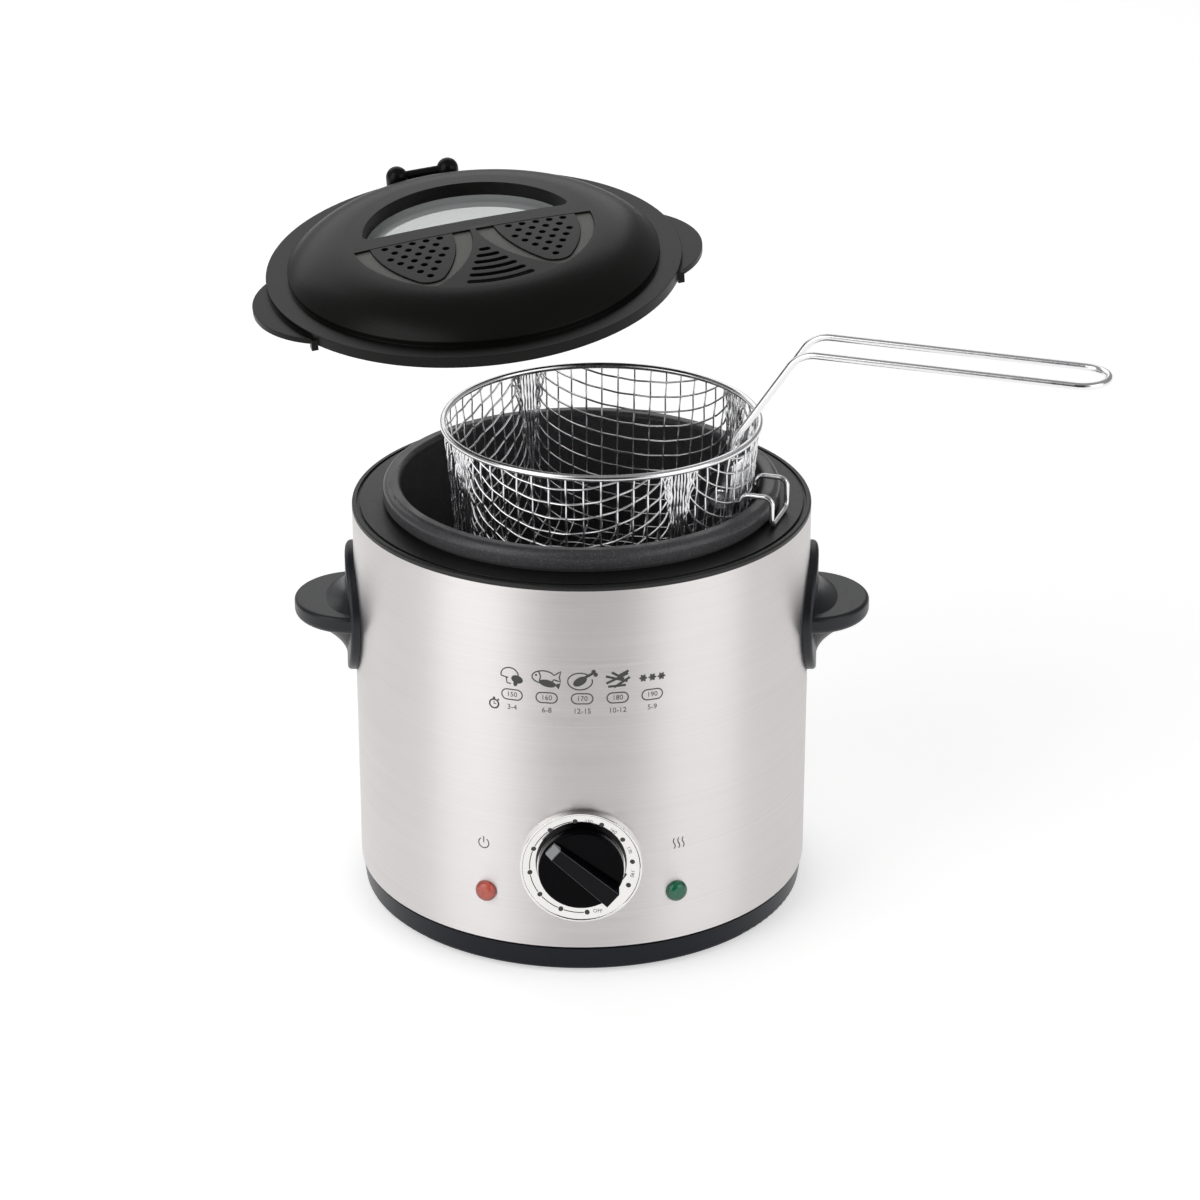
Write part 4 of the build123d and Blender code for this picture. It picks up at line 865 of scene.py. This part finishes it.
class DishStamp(Stamp):
    """Flat print that is laid in the dial's dished ring."""

    lip_width = 1.2 * MM
    lip_step = 0.5 * MM
    slope = math.tan(math.radians(10))

    def __init__(self) -> None:
        """Starts an empty print round the dial's middle."""
        low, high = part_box("dial_bezel")
        super().__init__((high[0] - low[0]) / 2 - self.lip_width, middle("dial_bezel").z)
        self.front = -low[1] - self.lip_step

    def seat(self, x: float, y: float, lift: float) -> Vector:
        """Place in the frame of a point of the flat print, lifted off the dish."""
        depth = (self.radius - math.hypot(x, y)) * self.slope
        return Vector((x, depth - self.front - lift, self.height + y))


@dataclass
class FoodGuide:
    """Row of plain cooking marks on the sleeve: a small picture, a figure in a ring and figures below."""

    height: float = 138.5 * MM
    middle: float = 0.6
    pitch: float = 15.6
    picture_rise: float = 8.9
    note_drop: float = 6.1
    clock_spot: Spot = (-39.0, -5.6)
    line: float = 0.55
    ring: Spot = (4.7, 2.45)
    degrees: tuple[str, ...] = ("150", "160", "170", "180", "190")
    degree_size: float = 2.3
    minutes: tuple[str, ...] = ("3-4", "6-8", "12-15", "10-12", "5-9")
    minute_size: float = 2.4

    def build(self) -> bpy.types.Object:
        """Builds the row as one print.

        Returns:
            The print.
        """
        stamp = Stamp(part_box("outer_shell")[1][0], self.height)
        pictures: tuple[Callable[[Stamp, float, float], None], ...] = (
            self.mushrooms, self.fish, self.drumstick, self.chips, self.frost)
        for number, picture in enumerate(pictures):
            x = self.middle + (number - 2) * self.pitch
            picture(stamp, x, self.picture_rise)
            self.pill(stamp, (x, 0.0))
            stamp.words(self.degrees[number], (x, 0.0), self.degree_size)
            stamp.words(self.minutes[number], (x, -self.note_drop), self.minute_size)
        self.clock(stamp, self.clock_spot)
        return stamp.build("food_guide_print")

    def pill(self, stamp: Stamp, spot: Spot) -> None:
        """Draws a ring with straight sides round a figure.

        Args:
            stamp: the print.
            spot: the figure's middle.
        """
        x, y = spot
        half, tall = self.ring[0] - self.ring[1], self.ring[1]
        points = [ellipse_spot((x + half, y), (tall, tall), a) for a in range(-90, 91, 15)]
        points += [ellipse_spot((x - half, y), (tall, tall), a) for a in range(90, 271, 15)]
        stamp.stroke(points, self.line, closed=True)

    def mushrooms(self, stamp: Stamp, x: float, y: float) -> None:
        """Draws a pale cap over a stem, and a dark one in front of it.

        Args:
            stamp: the print.
            x: how far right the picture's middle is.
            y: how far up it is.
        """
        stamp.arc((x - 1.0, y + 0.4), (4.0, 3.6), -10, 190, self.line)
        stamp.stroke([(x - 4.9, y - 0.2), (x - 1.6, y - 0.9)], self.line)
        stamp.stroke([(x - 2.6, y - 0.8), (x - 2.2, y - 3.4), (x - 0.4, y - 3.6)], self.line)
        stamp.blob((x + 2.4, y - 1.3), (2.7, 1.9), -15)
        stamp.blob((x + 1.7, y - 3.3), (1.0, 1.4), -15)

    def fish(self, stamp: Stamp, x: float, y: float) -> None:
        """Draws a pale fish, and a dark one below it.

        Args:
            stamp: the print.
            x: how far right the picture's middle is.
            y: how far up it is.
        """
        stamp.arc((x - 1.4, y + 1.0), (5.0, 3.0), 20, 340, self.line)
        tail = ((3.2, 2.0), (6.4, 4.0), (5.6, 1.2), (6.2, -1.0), (3.2, 0.0))
        stamp.stroke([(x + right, y + up) for right, up in tail], self.line)
        stamp.stroke([(x - 3.4, y + 3.4), (x - 2.6, y + 1.4), (x - 3.2, y - 1.2)], self.line)
        stamp.disc((x - 4.6, y + 1.8), 0.5)
        stamp.blob((x + 0.4, y - 2.0), (3.8, 1.7), -12)
        stamp.face([(x + 3.4, y - 2.4), (x + 6.2, y - 1.6), (x + 5.4, y - 4.6)])

    def drumstick(self, stamp: Stamp, x: float, y: float) -> None:
        """Draws a roast on a plate, with a dark leg on its bone.

        Args:
            stamp: the print.
            x: how far right the picture's middle is.
            y: how far up it is.
        """
        stamp.arc((x - 0.9, y - 0.6), (5.4, 4.0), 40, 375, self.line)
        stamp.blob((x - 0.9, y - 0.6), (3.4, 1.9), 32)
        stamp.stroke([(x + 1.2, y + 1.3), (x + 4.6, y + 3.2)], 1.2)
        stamp.disc((x + 5.0, y + 4.0), 1.0)
        stamp.disc((x + 5.9, y + 2.6), 1.0)

    def chips(self, stamp: Stamp, x: float, y: float) -> None:
        """Draws a heap of sticks that cross each other.

        Args:
            stamp: the print.
            x: how far right the picture's middle is.
            y: how far up it is.
        """
        for start, end in (
            ((-5.2, 1.6), (4.4, -1.2)), ((-5.0, -1.8), (4.6, 2.6)), ((-4.2, -3.4), (3.6, -3.0)),
            ((-1.6, -3.8), (5.4, 0.6)), ((-2.6, 3.4), (2.8, 0.0)), ((0.4, 1.6), (4.8, 3.8)),
        ):
            stamp.stroke([(x + start[0], y + start[1]), (x + end[0], y + end[1])], 1.1)

    def frost(self, stamp: Stamp, x: float, y: float) -> None:
        """Draws three six-armed stars.

        Args:
            stamp: the print.
            x: how far right the picture's middle is.
            y: how far up it is.
        """
        for side in (-4.2, 0.0, 4.2):
            for angle in (0, 60, 120):
                ends = [ellipse_spot((x + side, y - 0.6), (1.8, 1.8), angle + half) for half in (0, 180)]
                stamp.stroke(ends, 0.7)
            stamp.arc((x + side, y - 0.6), (1.1, 1.1), 0, 360, 0.4)

    def clock(self, stamp: Stamp, spot: Spot) -> None:
        """Draws a small stop watch.

        Args:
            stamp: the print.
            spot: its middle.
        """
        stamp.arc(spot, (2.1, 2.1), 0, 360, 0.7)
        stamp.stroke([(spot[0], spot[1] + 1.3), spot, (spot[0] + 1.0, spot[1])], 0.45)
        stamp.stroke([(spot[0], spot[1] + 2.2), (spot[0], spot[1] + 3.3)], 1.1)
        stamp.stroke([(spot[0] + 1.7, spot[1] + 1.9), (spot[0] + 2.3, spot[1] + 2.5)], 0.7)


@dataclass
class DialScale:
    """Print in the dial's ring: dots joined by a line, OFF at the foot and plain figures on the right."""

    dot_radius: float = 1.15
    dot_circle: float = 23.0
    dot_count: int = 11
    first_angle: float = -83.4
    dot_step: float = 30.0
    line: float = 0.4
    line_gap: float = 3.5
    figures: tuple[str, ...] = ("150", "160", "170", "190")
    figure_size: float = 1.7
    off_spot: Spot = (7.4, -22.2)

    def build(self) -> bpy.types.Object:
        """Builds the scale as one print.

        Returns:
            The print.
        """
        stamp = DishStamp()
        circle = (self.dot_circle, self.dot_circle)
        for number in range(self.dot_count):
            stamp.disc(ellipse_spot((0, 0), circle, self.angle(number)), self.dot_radius)
        plain = self.dot_count - len(self.figures)
        for number in range(self.dot_count - 1):
            start, end = self.angle(number) - self.line_gap, self.angle(number + 1) + self.line_gap
            if number < plain - 1:
                stamp.arc((0, 0), circle, start, end, self.line)
            else:
                spot = ellipse_spot((0, 0), circle, (start + end) / 2)
                figure = self.figures[min(number - plain + 1, len(self.figures) - 1)]
                stamp.words(figure, spot, self.figure_size, (start + end) / 2 - 90)
        stamp.words("OFF", self.off_spot, self.figure_size)
        return stamp.build("dial_scale_print")

    def angle(self, number: int) -> float:
        """Angle of a dot, counted clockwise from OFF."""
        return self.first_angle - self.dot_step * number


@dataclass
class LampMarks:
    """Plain symbols above the two lamps: a switch sign and rising heat."""

    height: float = 62.8 * MM
    reach: float = 45.0
    line: float = 0.5
    ring: Spot = (2.5, 2.5)
    wave_pitch: float = 2.2
    wave_sway: float = 0.5
    wave_rise: float = 5.2
    wave_steps: int = 8

    def build(self) -> bpy.types.Object:
        """Builds both symbols as one print.

        Returns:
            The print.
        """
        stamp = Stamp(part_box("outer_shell")[1][0], self.height)
        stamp.arc((-self.reach, 0), self.ring, 125, 415, self.line)
        stamp.stroke([(-self.reach, 0.2), (-self.reach, 3.2)], self.line)
        steps = range(self.wave_steps + 1)
        for side in (-self.wave_pitch, 0.0, self.wave_pitch):
            sway = [self.wave_sway * math.sin(2 * math.pi * i / self.wave_steps) for i in steps]
            rise = [self.wave_rise * (i / self.wave_steps - 0.5) for i in steps]
            stamp.stroke([(self.reach + side + x, y) for x, y in zip(sway, rise)], self.line)
        return stamp.build("lamp_marks_print")


@dataclass(frozen=True)
class Softbox:
    """Soft rectangular lamp: its place in metres, its width and height, and its power in watts."""

    name: str
    place: tuple[float, float, float]
    size: Spot
    power: float

    def hang(self, aim: Vector) -> None:
        """Adds the lamp to the scene.

        Args:
            aim: the point that it faces.
        """
        data = bpy.data.lights.new(self.name, "AREA")
        data.shape = "RECTANGLE"
        data.size, data.size_y = self.size
        data.energy = self.power
        lamp = bpy.data.objects.new(self.name, data)
        lamp.location = self.place
        lamp.rotation_euler = (aim - Vector(self.place)).to_track_quat("-Z", "Y").to_euler()
        bpy.context.scene.collection.objects.link(lamp)


@dataclass
class Studio:
    """White studio: camera, lamps, floor and sky."""

    target: Vector = field(default_factory=lambda: Vector((8.4, 0.0, 139.4)) * MM)
    distance: float = 1668.2 * MM
    elevation: float = math.radians(23.79)
    lens: float = 108.0
    sensor: float = 36.0
    floor_reach: float = 6.0
    floor_glow: float = 0.52
    sky_strength: float = 0.28
    flag_row: float = 1.0
    flag_sides: Spot = (-0.34, 0.46)
    flag_height: float = 1.3
    lamp_aim: Vector = field(default_factory=lambda: Vector((0.0, 0.0, 0.15)))
    lamps: tuple[Softbox, ...] = (
        Softbox("left_softbox", (-1.25, -0.95, 1.0), (1.3, 1.9), 12.5),
        Softbox("right_softbox", (1.35, -0.85, 0.7), (1.3, 1.3), 6.5),
        Softbox("back_softbox", (-0.5, 1.6, 1.3), (2.4, 1.4), 9.5),
    )

    def camera(self) -> None:
        """Places the camera at the photograph's viewing angle."""
        data = bpy.data.cameras.new("camera")
        data.lens = self.lens
        data.sensor_width = self.sensor
        data.clip_end = 50.0
        camera = bpy.data.objects.new("camera", data)
        back = Vector((0.0, -math.cos(self.elevation), math.sin(self.elevation)))
        camera.location = self.target + back * self.distance
        camera.rotation_euler = (-back).to_track_quat("-Z", "Y").to_euler()
        bpy.context.scene.collection.objects.link(camera)
        bpy.context.scene.camera = camera

    def floor(self) -> None:
        """Adds a pale floor that keeps the shadow."""
        graph = Graph("pale_floor")
        graph.cover("Base Color", (0.9, 0.9, 0.9, 1.0))
        graph.cover("Specular IOR Level", 0.1)
        graph.cover("Roughness", graph.span(graph.noise(3.0), 0.85, 0.95))
        path = graph.add("ShaderNodeLightPath").outputs
        seen = graph.reckon("MAXIMUM", path["Is Camera Ray"], path["Is Glossy Ray"])
        seen = graph.reckon("MAXIMUM", seen, path["Is Transmission Ray"])
        graph.cover("Emission Color", (1.0, 1.0, 1.0, 1.0))
        graph.cover("Emission Strength", graph.reckon("MULTIPLY", seen, self.floor_glow))
        half = self.floor_reach
        self.sheet("floor", [(-half, -half, 0), (half, -half, 0), (half, half, 0), (-half, half, 0)], graph)

    def sheet(self, name: str, corners: Sequence[Sequence[float]], graph: Graph) -> bpy.types.Object:
        """Adds a flat sheet that belongs to the studio.

        Args:
            name: the sheet's name.
            corners: its four corners, in metres.
            graph: the node tree of its material.

        Returns:
            The new object.
        """
        mesh = bpy.data.meshes.new(name)
        mesh.from_pydata(corners, [], [(0, 1, 2, 3)])
        mesh.materials.append(graph.material)
        sheet = bpy.data.objects.new(name, mesh)
        bpy.context.scene.collection.objects.link(sheet)
        return sheet

    def sky(self) -> None:
        """Lights the scene evenly from all round."""
        world = bpy.data.worlds.new("studio_sky")
        bpy.context.scene.world = world
        world.use_nodes = True
        background = world.node_tree.nodes["Background"]
        background.inputs["Color"].default_value = (1.0, 1.0, 1.0, 1.0)
        background.inputs["Strength"].default_value = self.sky_strength

    def flag(self) -> None:
        """Stands a black card behind the viewer's place, which the steel shows as a darker middle."""
        graph = Graph("black_card")
        graph.cover("Base Color", (0.01, 0.01, 0.01, 1.0))
        graph.cover("Roughness", graph.span(graph.noise(40.0), 0.85, 0.95))
        (left, right), row, top = self.flag_sides, -self.flag_row, self.flag_height
        corners = [(left, row, 0.0), (right, row, 0.0), (right, row, top), (left, row, top)]
        card = self.sheet("black_card", corners, graph)
        card.visible_camera = False
        card.visible_shadow = False
        card.visible_diffuse = False

    def build(self) -> None:
        """Sets up camera, lamps, floor, card, sky and the plain view."""
        self.camera()
        self.floor()
        self.flag()
        self.sky()
        for lamp in self.lamps:
            lamp.hang(self.lamp_aim)
        bpy.context.scene.view_settings.view_transform = "Standard"


def main() -> None:
    """Dresses the frame, builds what the CAD model leaves to the looks, and sets up the studio."""
    logging.basicConfig(level=logging.INFO, format="%(name)s: %(message)s")
    Studio().build()
    for look, nodes in NODE_LOOKS.items():
        look.value.dress(*nodes)
    for piece in (BasketNet(), FoodGuide(), DialScale(), LampMarks()):
        piece.build()


if __name__ == "__main__":
    main()
